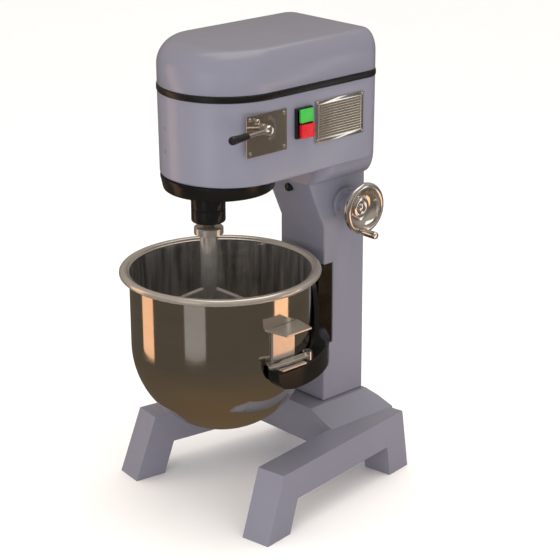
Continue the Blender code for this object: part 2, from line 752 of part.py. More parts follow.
def bowl_brackets(body):
    """The bent handles on the bowl's sides: a wide plate to lift by, and an ear that rests on the yoke."""
    thickness, low, high = 0.0045, 0.3860, 0.4740
    inner, web, handle_tip, ear_tip = 0.190, 0.2055, 0.254, 0.240
    for side, name in ((-1, "bowl_bracket_left"), (1, "bowl_bracket_right")):
        pieces = []
        plates = (
            (name, low, high, web, 0.032, 0.032),
            ("handle", high - thickness, high, handle_tip, 0.046, 0.036),
            ("ear", low, low + thickness, ear_tip, 0.039, 0.035),
        )
        for label, bottom, top, tip, root_half, tip_half in plates:
            outline = [(inner, -root_half), (web, -root_half), (tip, -tip_half), (tip, tip_half),
                       (web, root_half), (inner, root_half)]
            if tip == web:
                outline = [outline[0], outline[1], outline[4], outline[5]]
            outline = [(side * x, BOWL_Y + y) for x, y in outline]
            pieces.append(prism(label, outline, bottom, top, "chrome", body=body if not pieces else None))
        bracket = fuse(*pieces)
        shell = rod("bowl_space", BOWL_RADIUS + 0.0006, 0.37, 0.49, "chrome", (0, BOWL_Y), steps=72)
        node(cut(bracket, shell))


def smooth_step(value):
    value = min(max(value, 0.0), 1.0)
    return value * value * (3 - 2 * value)


def bowl_yoke(body):
    """The black casting that carries the bowl: a thin back plate over two thick arms."""
    inner, outer, thin, back = 0.206, 0.240, 0.217, 0.130 - BOWL_Y
    arm_top, plate_top, chamfer = 0.3855, 0.505, 0.003
    tips = (-0.146, -0.128)
    rings = []

    def station(inside, outside, upper, low, rise):
        high = arm_top + (plate_top - arm_top) * rise
        shelf = arm_top - chamfer / 2 + 0.012 * rise
        return [
            (*inside, low), (*outside, low), (*outside, arm_top - chamfer), (*upper, shelf),
            (*upper, high), (*inside, high),
        ]

    def tip(side, y):
        low = 0.366 if y < -0.14 else 0.345
        return station((side * inner, y), (side * outer, y), (side * (outer - chamfer), y), low, 0)

    for y in tips:
        rings.append(tip(1, y))
    steps = 32
    for k in range(steps + 1):
        turn = math.pi * k / steps
        lean = math.degrees(abs(turn - math.pi / 2))
        reach = min(outer, back / max(math.sin(turn), 0.1))
        rise = 1 - smooth_step((lean - 22) / 34)
        arm = 1 - smooth_step(rise / 0.15)
        slim = reach - chamfer + (thin - reach + chamfer) * smooth_step((lean - 12) / 12)
        waist = slim + (reach - chamfer - slim) * arm
        foot = smooth_step((lean - 20) / 40)
        places = [(r * math.cos(turn), BOWL_Y + r * math.sin(turn)) for r in (inner, reach, waist)]
        rings.append(station(*places, 0.330 + 0.008 * foot, rise))
    for y in reversed(tips):
        rings.append(tip(-1, y))
    node(loft("bowl_yoke", rings, "black_enamel", body))


def lift_slide(body):
    tongue = box("lift_slide", (-0.0295, 0.1303, 0.330), (0.0295, 0.1720, 0.415), "machined_steel", body)
    arm = box("arm", (-0.012, 0.165, 0.352), (0.012, 0.1897, 0.378), "machined_steel")
    node(fuse(tongue, arm))
    nut = box("lift_nut", (-0.020, 0.190, 0.345), (0.020, 0.232, 0.385), "bronze", body, bevel=0.002)
    node(cut(nut, rod("thread", 0.0116, 0.33, 0.40, "bronze", (0, SCREW_Y))))


def lift_drive(screw_body, wheel_body):
    for name, low, front in (("screw_bush_lower", 0.300, 0.187), ("screw_bush_upper", 0.572, 0.160)):
        bush = box(name, (-0.030, front + GAP, low), (0.030, 0.235, low + 0.020), "machined_steel")
        node(cut(bush, rod("bore", 0.0116, low - 0.01, low + 0.03, "bronze", (0, SCREW_Y))))
    node(rod(
        "lift_screw", 0.011, 0.285, 0.6220, "machined_steel", (0, SCREW_Y), body=screw_body
    ))
    teeth, pitch = 16, 0.024
    apex = (0, SCREW_Y, WHEEL_Z)
    bevel_gear("bevel_gear", teeth, pitch, apex, "Z", -1, 0, screw_body)
    bevel_gear("bevel_pinion", teeth, pitch, apex, "X", 1, -math.pi / 2 + math.pi / teeth, wheel_body)
    node(rod(
        "handwheel_shaft", 0.009, 0.0290, 0.1250, "machined_steel", (SCREW_Y, WHEEL_Z), "X",
        body=wheel_body,
    ))
    flange = [
        (0.0097, COLUMN_HALF + GAP), (0.038, COLUMN_HALF + GAP), (0.038, 0.0785), (0.0355, 0.0810),
        (0.026, 0.0820), (0.0225, 0.0850), (0.0215, 0.1000), (0.0097, 0.1000),
    ]
    node(turned("handwheel_flange", flange, "paint", (SCREW_Y, WHEEL_Z), "X"))


def handwheel(body, grip_body):
    rim = arc((0.0505, 0.133), 0.0085, -120, 130, 7)
    profile = [(0.0095, 0.104), (0.017, 0.104), (0.019, 0.110), (0.030, 0.114), (0.040, 0.119)]
    profile += rim
    profile += [
        (0.040, 0.129), (0.030, 0.1215), (0.0245, 0.1200), (0.0235, 0.1245), (0.0215, 0.1265),
        (0.0095, 0.1265),
    ]
    wheel = turned(
        "handwheel", profile, "chrome", (SCREW_Y, WHEEL_Z), "X", 28, body=body
    )
    pin = rod("pin", 0.004, 0.135, 0.188, "chrome", (GRIP_Y, GRIP_Z), "X", 16)
    node(fuse(wheel, pin))
    grip = [
        (0.0046, 0.1425), (0.0070, 0.1425), (0.0080, 0.146), (0.0086, 0.165), (0.0084, 0.184),
        (0.0070, 0.1895), (0.0046, 0.1895),
    ]
    node(turned("handwheel_grip", grip, "chrome", (GRIP_Y, GRIP_Z), "X", 16, body=grip_body))


def clamp(side, name, body):
    """A lever that swings over the bowl's ear and holds it down."""
    x, pivot = 0.219, -0.044
    outline = [
        (x + 0.010, pivot), (x + 0.011, -0.112), (x + 0.008, -0.122), (x + 0.009, -0.149),
        (x + 0.004, -0.156), (x - 0.003, -0.156), (x - 0.004, -0.122), (x - 0.009, -0.112),
        (x - 0.009, pivot),
    ]
    outline = [(side * a, b) for a, b in outline]
    lever = prism(name, outline, 0.3920, 0.3985, "chrome", body=body, bevel=0.0012)
    hub = rod("hub", 0.0105, 0.3858, 0.4040, "chrome", (side * x, pivot))
    node(fuse(lever, hub))


# ---- controls -----------------------------------------------------------------------------------
def gear_lever(body):
    """A shaft through the housing wall, with a crank and pin inside and a hand lever outside."""
    at = (LEVER_Y, LEVER_Z)
    shaft = rod("gear_lever", 0.0062, 0.118, 0.163, "chrome", at, "X", body=body)
    crank = rod("crank", 0.016, 0.116, 0.122, "chrome", at, "X")
    pin = rod("pin", 0.003, 0.106, 0.118, "chrome", (LEVER_Y + 0.012, LEVER_Z), "X", 16)
    hub = rod("hub", 0.0105, 0.1490, 0.1640, "chrome", at, "X")
    start, end = Vector((0.157, LEVER_Y, LEVER_Z)), Vector((0.1810, -0.176, 0.898))
    arm = bar("arm", start, end, 0.0046, 0.0042, "chrome", 16)
    node(fuse(shaft, crank, pin, hub, arm))
    run = (end - start).normalized()
    grip = bar("lever_grip", end + run * GAP, end + run * 0.063, 0.0080, 0.0092, "black_plastic", 20, body)
    node(grip)


def bar(name, start, end, radius, end_radius, finish, steps, body=None):
    """A round bar between two points, with its ends chamfered."""
    run = end - start
    turn = run.to_track_quat("Z", "Y").to_matrix()
    lip = min(0.002, radius * 0.3)
    stations = [
        (0, radius - lip), (lip, radius), (run.length - 2 * lip, end_radius),
        (run.length, end_radius - lip * 1.5),
    ]
    rings = [
        [tuple(start + turn @ Vector((r * math.cos(t), r * math.sin(t), h)))
         for t in (2 * math.pi * k / steps for k in range(steps))]
        for h, r in stations
    ]
    return loft(name, rings, finish, body)


def shift_fork(fork_body, sleeve_body):
    """The fork that the lever's pin lifts, and the sleeve on the main shaft that it moves."""
    low, high = 0.8915, 0.8955
    ring = arc((0, BOWL_Y), 0.030, -110, 110, 14) + arc((0, BOWL_Y), 0.0180, 110, -110, 14)
    fork = prism("shift_fork", ring, low, high, "machined_steel", body=fork_body)
    arm = box("arm", (0.026, -0.100, low), (0.104, -0.078, high), "machined_steel")
    block = box("block", (0.100, -0.095, 0.8840), (0.1135, -0.075, 0.9000), "machined_steel")
    cut(block, box("slot", (0.1045, -0.10, 0.8884), (0.12, -0.07, 0.8956), "machined_steel"))
    stem = rod("stem", 0.006, 0.8935, 0.9450, "machined_steel", (0.060, -0.085), steps=16)
    node(fuse(fork, arm, block, stem))
    bore = MAIN_SHAFT_RADIUS + 0.0005
    sleeve = [
        (bore, 0.8870), (0.024, 0.8870), (0.024, 0.8900), (0.0168, 0.8900), (0.0168, 0.8970),
        (0.024, 0.8970), (0.024, 0.9000), (bore, 0.9000),
    ]
    node(turned("clutch_sleeve", sleeve, "machined_steel", (0, BOWL_Y), steps=20, body=sleeve_body))


def push_button(name, z, face, finish, body):
    low = (BUTTON_BACK, SWITCH_Y[0] + 0.0070, z - 0.0147)
    high = (face, SWITCH_Y[1] - 0.0050, z + 0.0147)
    node(box(name, low, high, finish, body, bevel=0.0015, segments=2))


# ---- the machine --------------------------------------------------------------------------------
def clear_scene():
    for old in list(bpy.data.objects):
        bpy.data.objects.remove(old)


def main():
    clear_scene()
    root = joint("root_frame", 0, 0, 0)
    planetary = joint("planetary_axis", 0, BOWL_Y, 0.7378)
    axes = {
        "middle": joint("gear_middle_axis", 0, BOWL_Y, GEAR_PAIRS[1][2]),
        "high": joint("gear_high_axis", 0, BOWL_Y, GEAR_PAIRS[2][2]),
        "sleeve": joint("sleeve_axis", 0, BOWL_Y, 0.8870),
        "agitator": joint("agitator_axis", *agitator_centre(), 0.677),
        "counter": joint("countershaft_axis", 0, COUNTER_Y, 0.7730),
        "motor": joint("motor_axis", 0, MOTOR_Y, 0.9310),
        "carriage": joint("carriage", 0, BOWL_Y, BOWL_CENTRE_Z),
        "clamp_left": joint("clamp_left_axis", -0.219, -0.044, 0.3858),
        "clamp_right": joint("clamp_right_axis", 0.219, -0.044, 0.3858),
        "screw": joint("screw_axis", 0, SCREW_Y, 0.285),
        "wheel": joint("handwheel_axis", 0.104, SCREW_Y, WHEEL_Z),
        "grip": joint("grip_axis", 0.1425, GRIP_Y, GRIP_Z),
        "lever": joint("lever_axis", HEAD_HALF, LEVER_Y, LEVER_Z),
        "fork": joint("fork_axis", 0.060, -0.085, 0.8935),
        "start": joint("start_axis", BUTTON_BACK, sum(SWITCH_Y) / 2, START_Z),
        "stop": joint("stop_axis", BUTTON_BACK, sum(SWITCH_Y) / 2, STOP_Z),
    }

    base_casting()
    column()
    slide_rails()
    head_housing()
    head_gasket()
    head_hood()
    panels()
    gearbox_plate()
    bearings()
    drive_motor(axes["motor"])
    main_gears((planetary, axes["middle"], axes["high"]))
    countershaft(axes["counter"])
    pulley("countershaft_pulley", COUNTER_Y, COUNTER_SHAFT_RADIUS + GAP, axes["counter"])
    pulley("motor_pulley", MOTOR_Y, 0.0113, axes["motor"])
    v_belt()
    planetary_flange()
    planet_carrier(planetary)
    agitator(axes["agitator"])
    flat_beater(axes["agitator"])
    bowl_shell(axes["carriage"])
    bowl_brackets(axes["carriage"])
    bowl_yoke(axes["carriage"])
    lift_slide(axes["carriage"])
    lift_drive(axes["screw"], axes["wheel"])
    handwheel(axes["wheel"], axes["grip"])
    clamp(-1, "bowl_clamp_left", axes["clamp_left"])
    clamp(1, "bowl_clamp_right", axes["clamp_right"])
    gear_lever(axes["lever"])
    shift_fork(axes["fork"], axes["sleeve"])
    push_button("start_button", START_Z, 0.1605, "green_plastic", axes["start"])
    push_button("stop_button", STOP_Z, 0.1650, "red_plastic", axes["stop"])
    for made in nodes:
        if made.parent is None:
            made.parent = root


main()
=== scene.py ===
"""The look of a commercial stand mixer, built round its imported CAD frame."""

import json
import math

import bmesh
import bpy
from mathutils import Matrix, Vector


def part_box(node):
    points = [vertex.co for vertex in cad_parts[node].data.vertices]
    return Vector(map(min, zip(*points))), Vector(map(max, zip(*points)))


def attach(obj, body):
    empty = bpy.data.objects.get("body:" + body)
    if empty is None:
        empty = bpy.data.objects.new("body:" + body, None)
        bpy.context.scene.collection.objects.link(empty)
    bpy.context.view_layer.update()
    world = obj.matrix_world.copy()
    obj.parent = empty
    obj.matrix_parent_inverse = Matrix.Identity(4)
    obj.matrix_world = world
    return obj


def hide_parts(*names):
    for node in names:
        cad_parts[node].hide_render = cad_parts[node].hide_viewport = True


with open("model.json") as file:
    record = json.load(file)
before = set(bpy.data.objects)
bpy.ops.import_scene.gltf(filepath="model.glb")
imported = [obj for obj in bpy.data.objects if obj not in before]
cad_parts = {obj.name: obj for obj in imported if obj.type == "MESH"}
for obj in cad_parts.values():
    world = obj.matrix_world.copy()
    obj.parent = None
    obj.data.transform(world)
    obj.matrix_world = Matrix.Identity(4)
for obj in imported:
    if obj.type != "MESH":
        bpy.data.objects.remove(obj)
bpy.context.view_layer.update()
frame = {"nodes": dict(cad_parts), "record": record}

BODY = {n: body for body, group in frame["record"]["behaviour"]["bodies"].items() for n in group}
SLOT = {part["node"]: part["material_slot"] for part in frame["record"]["subparts"]}
GAP = 0.0003  # between pieces that touch
SHARP = math.radians(34)  # edges sharper than this are eased or kept sharp

# Cross-sections of the shared axes, in the plane that each axis stands on.
BOWL_AXIS = (0, -0.100)  # x, y of the bowl, the main shaft and the planetary
COUNTER_AXIS = (0, 0.015)  # x, y of the countershaft
LEVER_AXIS = (-0.097, 0.892)  # y, z
WHEEL_AXIS = (0.210, 0.651)  # y, z
GRIP_AXIS = tuple((a + b) / 2 for a, b in zip(*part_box("handwheel_grip")))[1:]  # y, z
PLUG_AXIS = (0, 0.693)  # x, z

# The bowl's shell: a cylinder on a half ball.
SHELL_RADIUS, SHELL_WALL, SHELL_ROUND_Z = 0.200, 0.002, 0.382

# The inputs and the output of a Mix node that work on colours, and on numbers.
MIX_SOCKETS = {"RGBA": (6, 7, 2), "FLOAT": (2, 3, 0)}


# ---- materials ----------------------------------------------------------------------------------
def finish(name, dark, light, rough, metallic=0.0, coat=0.0, cloud=7.0, grain=500.0,
           stretch=(1, 1, 1), relief=0.06, depth=0.0002, wear=0.03, specular=0.5):
    """A surface whose colour drifts from dark to light, with uneven gloss and a fine relief."""
    made = bpy.data.materials.new(name)
    made.use_nodes = True
    tree = made.node_tree
    shader = tree.nodes["Principled BSDF"]
    shader.inputs["Metallic"].default_value = metallic
    shader.inputs["Coat Weight"].default_value = coat
    shader.inputs["Coat Roughness"].default_value = 0.12
    shader.inputs["Specular IOR Level"].default_value = specular

    def add(kind, **values):
        new = tree.nodes.new("ShaderNode" + kind)
        for key, value in values.items():
            new.inputs[key].default_value = value
        return new

    place = tree.nodes.new("ShaderNodeTexCoord")
    spread = add("Mapping", Scale=stretch)
    tree.links.new(place.outputs["Object"], spread.inputs["Vector"])
    clouds = add("TexNoise", Scale=cloud, Detail=5.0, Roughness=0.6)
    specks = add("TexNoise", Scale=grain, Detail=3.0, Roughness=0.55)
    marks = add("TexNoise", Scale=cloud * 6, Detail=6.0, Roughness=0.7)
    for texture in (clouds, specks, marks):
        tree.links.new(spread.outputs["Vector"], texture.inputs["Vector"])
    tone = tree.nodes.new("ShaderNodeValToRGB")
    tone.color_ramp.elements[0].position, tone.color_ramp.elements[1].position = 0.30, 0.70
    tone.color_ramp.elements[0].color, tone.color_ramp.elements[1].color = (*dark, 1), (*light, 1)
    tree.links.new(clouds.outputs["Fac"], tone.inputs["Fac"])
    dust = add("Mix")
    dust.data_type = "RGBA"
    dust.blend_type = "MULTIPLY"
    dust.inputs[0].default_value = wear
    clean, worn, dusted = MIX_SOCKETS["RGBA"]
    tree.links.new(tone.outputs["Color"], dust.inputs[clean])
    speckle = tree.nodes.new("ShaderNodeValToRGB")
    speckle.color_ramp.elements[0].position, speckle.color_ramp.elements[1].position = 0.35, 0.62
    speckle.color_ramp.elements[0].color = (0.55, 0.55, 0.55, 1)
    tree.links.new(marks.outputs["Fac"], speckle.inputs["Fac"])
    tree.links.new(speckle.outputs["Color"], dust.inputs[worn])
    tree.links.new(dust.outputs[dusted], shader.inputs["Base Color"])
    gloss = add("MapRange", **{"To Min": rough[0], "To Max": rough[1], "From Min": 0.3, "From Max": 0.7})
    tree.links.new(marks.outputs["Fac"], gloss.inputs["Value"])
    tree.links.new(gloss.outputs["Result"], shader.inputs["Roughness"])
    bump = add("Bump", Strength=relief, Distance=depth)
    tree.links.new(specks.outputs["Fac"], bump.inputs["Height"])
    tree.links.new(bump.outputs["Normal"], shader.inputs["Normal"])
    return made


FINISH = {
    "paint": finish("paint", (0.184, 0.183, 0.230), (0.200, 0.199, 0.250), (0.28, 0.33), coat=0.35,
                    cloud=2.5, grain=45.0, relief=0.02, depth=0.0003, wear=0.0),
    "black_enamel": finish("black_enamel", (0.004, 0.004, 0.004), (0.009, 0.0085, 0.008), (0.16, 0.26),
                           grain=120.0, relief=0.04, specular=0.28),
    "chrome": finish("chrome", (0.76, 0.73, 0.70), (0.88, 0.86, 0.84), (0.10, 0.15), metallic=0.98,
                     cloud=14.0, grain=60.0, relief=0.01),
    "machined_steel": finish("machined_steel", (0.20, 0.17, 0.14), (0.36, 0.31, 0.26), (0.22, 0.40),
                             metallic=1.0, stretch=(1, 1, 30), grain=60.0, relief=0.10, wear=0.2),
    "cast_aluminium": finish("cast_aluminium", (0.50, 0.47, 0.44), (0.66, 0.63, 0.60), (0.14, 0.26),
                             metallic=0.84, grain=120.0, relief=0.05, wear=0.1),
    "bronze": finish("bronze", (0.36, 0.20, 0.07), (0.50, 0.30, 0.12), (0.2, 0.4), metallic=1.0),
    "rubber": finish("rubber", (0.004, 0.004, 0.0045), (0.008, 0.008, 0.009), (0.24, 0.36),
                     grain=700.0, relief=0.12),
    "black_plastic": finish("black_plastic", (0.005, 0.005, 0.0055), (0.011, 0.011, 0.011), (0.18, 0.30),
                            grain=120.0, relief=0.03),
    "green_plastic": finish("green_plastic", (0.035, 0.36, 0.045), (0.055, 0.46, 0.065), (0.24, 0.34),
                            grain=60.0, relief=0.02),
    "red_plastic": finish("red_plastic", (0.50, 0.008, 0.016), (0.62, 0.016, 0.026), (0.24, 0.34),
                          grain=60.0, relief=0.02),
    "motor_enamel": finish("motor_enamel", (0.03, 0.045, 0.07), (0.05, 0.07, 0.10), (0.3, 0.45)),
}
PLATE = finish("plate_chrome", (0.56, 0.50, 0.43), (0.74, 0.69, 0.62), (0.09, 0.14), metallic=0.97,
               cloud=9.0, grain=40.0, stretch=(1, 1, 0.3), relief=0.02, wear=0.10)
RAIL = finish("rail_steel", (0.030, 0.024, 0.017), (0.070, 0.056, 0.040), (0.16, 0.30), metallic=0.9,
              cloud=12.0, grain=90.0, stretch=(1, 1, 4), relief=0.06, wear=0.3)
SATIN = finish("satin_steel", (0.56, 0.51, 0.46), (0.64, 0.59, 0.54), (0.20, 0.28), metallic=0.84,
               cloud=10.0, grain=120.0, relief=0.02)


def bowl_steel():
    """Mirror steel outside, a duller one inside whose wall carries painted reflection streaks, and a satin
    rim.
    """
    made = finish("polished_steel", (0.62, 0.585, 0.54), (0.70, 0.67, 0.63), (0.06, 0.10), metallic=1.0,
                  cloud=3.0, grain=16.0, stretch=(1, 1, 5), relief=0.02, depth=0.0004)
    tree = made.node_tree
    shader = tree.nodes["Principled BSDF"]

    def math_node(operation, *values):
        new = tree.nodes.new("ShaderNodeMath")
        new.operation = operation
        for k, value in enumerate(values):
            if isinstance(value, (int, float)):
                new.inputs[k].default_value = value
            else:
                tree.links.new(value, new.inputs[k])
        return new.outputs[0]

    def vector(x, y, z):
        new = tree.nodes.new("ShaderNodeCombineXYZ")
        for k, value in enumerate((x, y, z)):
            if not isinstance(value, (int, float)):
                tree.links.new(value, new.inputs[k])
        return new.outputs[0]

    def length(value):
        new = tree.nodes.new("ShaderNodeVectorMath")
        new.operation = "LENGTH"
        tree.links.new(value, new.inputs[0])
        return new.outputs["Value"]

    def mixed(kind, factor, a, b):
        new = tree.nodes.new("ShaderNodeMix")
        new.data_type = kind
        first, second, result = MIX_SOCKETS[kind]
        tree.links.new(factor, new.inputs[0])
        for k, value in ((first, a), (second, b)):
            if isinstance(value, (int, float, tuple)):
                new.inputs[k].default_value = value
            else:
                tree.links.new(value, new.inputs[k])
        return new.outputs[result]

    place = tree.nodes.new("ShaderNodeTexCoord").outputs["Object"]
    parts = tree.nodes.new("ShaderNodeSeparateXYZ")
    tree.links.new(place, parts.inputs[0])
    x, y, z = parts.outputs
    from_axis = math_node("SUBTRACT", y, BOWL_AXIS[1])
    below = math_node("MINIMUM", math_node("SUBTRACT", z, SHELL_ROUND_Z), 0.0)
    inside = math_node("LESS_THAN", length(vector(x, from_axis, below)), SHELL_RADIUS - SHELL_WALL / 2)
    rim = math_node("GREATER_THAN", length(vector(x, from_axis, 0)), SHELL_RADIUS + 0.0012)

    # Painted reflection: stretched noise paints light and dark vertical streaks into the inside wall's
    # colour, while the round bottom stays flat grey.
    spread = tree.nodes.new("ShaderNodeMapping")
    spread.inputs["Scale"].default_value = (1, 1, 0.10)
    tree.links.new(place, spread.inputs["Vector"])
    reflection_streak_noise = tree.nodes.new("ShaderNodeTexNoise")
    reflection_streak_noise.inputs["Scale"].default_value, reflection_streak_noise.inputs["Detail"].default_value = 60.0, 3.0
    tree.links.new(spread.outputs["Vector"], reflection_streak_noise.inputs["Vector"])
    tone = tree.nodes.new("ShaderNodeValToRGB")
    for stop, position, colour in zip(tone.color_ramp.elements, (0.36, 0.64),
                                      ((0.30, 0.28, 0.26, 1), (0.76, 0.74, 0.72, 1))):
        stop.position, stop.color = position, colour
    tree.links.new(reflection_streak_noise.outputs["Fac"], tone.inputs["Fac"])
    climb = math_node("MULTIPLY", math_node("SUBTRACT", z, SHELL_ROUND_Z), 12.0)
    upright = math_node("MINIMUM", math_node("MAXIMUM", climb, 0.0), 1.0)
    painted_reflection_streaks = mixed("RGBA", upright, (0.50, 0.48, 0.46, 1), tone.outputs["Color"])

    def relink(socket, kind, within, edge):
        link = shader.inputs[socket].links
        outer = link[0].from_socket if link else shader.inputs[socket].default_value
        value = mixed(kind, rim, mixed(kind, inside, outer, within), edge)
        tree.links.new(value, shader.inputs[socket])

    relink("Base Color", "RGBA", painted_reflection_streaks, (0.58, 0.53, 0.475, 1))
    relink("Roughness", "FLOAT", 0.09, 0.18)
    relink("Metallic", "FLOAT", 0.86, 0.74)
    return made


FINISH["polished_steel"] = bowl_steel()


# ---- meshes -------------------------------------------------------------------------------------
def link(name, shape):
    bmesh.ops.recalc_face_normals(shape, faces=shape.faces)
    if shape.calc_volume(signed=True) < 0:
        bmesh.ops.reverse_faces(shape, faces=shape.faces)
    mesh = bpy.data.meshes.new(name)
    shape.to_mesh(mesh)
    shape.free()
    made = bpy.data.objects.new(name, mesh)
    bpy.context.scene.collection.objects.link(made)
    return made


def solid(name, points, faces, bevel=0.0, segments=3):
    shape = bmesh.new()
    verts = [shape.verts.new(point) for point in points]
    for face in faces:
        shape.faces.new([verts[i] for i in face])
    bmesh.ops.recalc_face_normals(shape, faces=shape.faces)
    if shape.calc_volume(signed=True) < 0:
        bmesh.ops.reverse_faces(shape, faces=shape.faces)
    if bevel:
        edges = [e for e in shape.edges if e.is_convex and e.calc_face_angle(0) > SHARP]
        bmesh.ops.bevel(shape, geom=edges, offset=bevel, segments=segments, profile=0.5,
                        affect="EDGES", clamp_overlap=True)
    return link(name, shape)


def along(axis, a, b, h):
    return {"X": (h, a, b), "Y": (a, h, b), "Z": (a, b, h)}[axis]


def loft(name, rings, closed=False, **edges):
    size = len(rings[0])
    points = [point for ring in rings for point in ring]
    faces = []
    for k in range(len(rings) if closed else len(rings) - 1):
        low, high = k * size, (k + 1) % len(rings) * size
        faces += [(low + i, low + (i + 1) % size, high + (i + 1) % size, high + i) for i in range(size)]
    if not closed:
        faces += [tuple(range(size)), tuple(range(len(points) - size, len(points)))]
    return solid(name, points, faces, **edges)


def prism(name, outline, low, high, axis="Z", **edges):
    return loft(name, [[along(axis, a, b, h) for a, b in outline] for h in (low, high)], **edges)


def box(name, low, high, **edges):
    outline = [(low[0], low[1]), (high[0], low[1]), (high[0], high[1]), (low[0], high[1])]
    return prism(name, outline, low[2], high[2], **edges)


def turned(name, profile, centre=(0, 0), axis="Z", steps=64, **edges):
    """A profile of (radius, height) turned round an axis; it is a loop, or it ends on the axis twice."""
    turns = [2 * math.pi * k / steps for k in range(steps)]

    def ring(radius, height):
        return [along(axis, centre[0] + radius * math.cos(t), centre[1] + radius * math.sin(t), height)
                for t in turns]

    if profile[0][0] > 0:
        return loft(name, [ring(*p) for p in profile], closed=True, **edges)
    rings = [ring(*p) for p in profile[1:-1]]
    points = [point for row in rings for point in row]
    faces = []
    for k in range(len(rings) - 1):
        for i in range(steps):
            j = (i + 1) % steps
            faces.append((k * steps + i, k * steps + j, (k + 1) * steps + j, (k + 1) * steps + i))
    last = (len(rings) - 1) * steps
    points += [along(axis, *centre, profile[0][1]), along(axis, *centre, profile[-1][1])]
    for i in range(steps):
        j = (i + 1) % steps
        faces += [(i, j, len(points) - 2), (last + i, last + j, len(points) - 1)]
    return solid(name, points, faces, **edges)


def rod(name, radius, low, high, centre=(0, 0), axis="Z", steps=32, **edges):
    return prism(name, arc(centre, radius, 0, 360, steps)[:-1], low, high, axis, **edges)


def arc(centre, radius, start, end, steps):
    turns = (math.radians(start + (end - start) * k / steps) for k in range(steps + 1))
    return [(centre[0] + radius * math.cos(t), centre[1] + radius * math.sin(t)) for t in turns]


def bar(name, start, end, radii, steps=24):
    """A round bar between two points through (share of its length, radius) stations."""
    run = end - start
    turn = run.to_track_quat("Z", "Y").to_matrix()
    rings = [
        [tuple(start + run * share + turn @ Vector((r * math.cos(t), r * math.sin(t), 0)))
         for t in (2 * math.pi * k / steps for k in range(steps))]
        for share, r in radii
    ]
    return loft(name, rings)


def combine(target, tools, operation):
    for tool in tools:
        step = target.modifiers.new(tool.name, "BOOLEAN")
        step.operation = operation
        step.object = tool
    graph = bpy.context.evaluated_depsgraph_get()
    mesh = bpy.data.meshes.new_from_object(target.evaluated_get(graph))
    target.modifiers.clear()
    target.data = mesh
    for tool in tools:
        bpy.data.objects.remove(tool)
    return target


def cut(target, *tools):
    return combine(target, tools, "DIFFERENCE")


def fuse(target, *tools):
    return combine(target, tools, "UNION")


def copied(name, node):
    """A CAD node's own shape, with its flat faces made whole again."""
    shape = bmesh.new()
    shape.from_mesh(frame["nodes"][node].data)
    bmesh.ops.remove_doubles(shape, verts=shape.verts, dist=1e-6)
    bmesh.ops.dissolve_limit(shape, angle_limit=math.radians(0.4), verts=shape.verts, edges=shape.edges)
    made = link(name, shape)
    for extra in ("custom_normal", "sharp_edge", "sharp_face"):
        if extra in made.data.attributes:
            made.data.attributes.remove(made.data.attributes[extra])
    return made


def show(piece, look, body, *nodes, ease=0.0, segments=3, sharp=SHARP):
    """Gives a finished piece its material, eased edges and CAD body."""
    slot = look if isinstance(look, str) else None
    piece.data.materials.clear()
    piece.data.materials.append(FINISH[look] if slot else look)
    piece.data.shade_smooth()
    if ease:
        bevel = piece.modifiers.new("ease", "BEVEL")
        bevel.width, bevel.segments = ease, segments
        bevel.limit_method, bevel.angle_limit = "ANGLE", sharp
        bevel.harden_normals = True
    else:
        piece.data.set_sharp_from_angle(angle=sharp)
    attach(piece, body)
    if nodes:
        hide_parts(*nodes)
    return piece


def eased(node, width, segments=3, look=None, sharp=SHARP):
    return show(copied(node + "_look", node), look or SLOT[node], BODY[node], node, ease=width,
                segments=segments, sharp=sharp)


def screw(name, at, axis, sign, radius, body, look="chrome", turn=0.6):
    """A domed screw head with a driving recess, standing on a face."""
    a, b, h = {"X": (at[1], at[2], at[0]), "Y": (at[0], at[2], at[1]), "Z": at}[axis]
    dome = [(0, h), (radius, h), (radius, h + sign * radius * 0.22),
            (radius * 0.86, h + sign * radius * 0.42), (radius * 0.55, h + sign * radius * 0.56),
            (0, h + sign * radius * 0.60)]
    head = turned(name, dome, (a, b), axis, steps=20)
    slots = []
    long, wide = radius * 0.62, radius * 0.14
    for k in range(2):
        c, s = math.cos(turn + k * math.pi / 2), math.sin(turn + k * math.pi / 2)
        ring = [(a + x * c - y * s, b + x * s + y * c)
                for x, y in ((-long, -wide), (long, -wide), (long, wide), (-long, wide))]
        ends = sorted((h + sign * radius * 0.30, h + sign * radius * 0.90))
        slots.append(prism("slot", ring, *ends, axis))
    return show(cut(head, *slots), look, body)


# ---- base and column ----------------------------------------------------------------------------
def base():
    """The splayed legs and the hub, as one casting."""
    low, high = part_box("base_casting")
    leg_top, arch, splay = 0.1486, 0.0764, math.radians(8.45)
    length = (high.y - low.y - 0.0106) / math.cos(splay)
    profile = [
        (0, 0), (0.077, 0), (0.104, arch), (length - 0.0835, arch), (length - 0.0715, 0),
        (length, 0), (length - 0.025, leg_top), (0.056, leg_top),
    ]
    run = Vector((-math.sin(splay), math.cos(splay), 0))
    inward = Vector((-math.cos(splay), -math.sin(splay), 0)) * 0.072
    corner = Vector((0.2583, -0.1976, 0))
    legs = []
    for side in (1, -1):
        rings = [
            [(side * p.x, p.y, p.z)
             for p in (corner + shift + run * s + Vector((0, 0, z)) for s, z in profile)]
            for shift in (Vector(), inward)
        ]
        legs.append(loft("leg", rings))
    levels = [
        (arch, 0.150, 0.1215, 0.296), (leg_top, 0.149, 0.100, 0.297),
        (0.166, 0.109, 0.098, 0.290), (high.z, 0.082, 0.096, 0.276),
    ]
    hub = loft("base_look", [
        [(-half, front, z), (half, front, z), (half, rear, z), (-half, rear, z)]
        for z, half, front, rear in levels
    ])
    show(fuse(hub, *legs), "paint", "root", "base_casting", ease=0.0045, segments=4,
         sharp=math.radians(22))


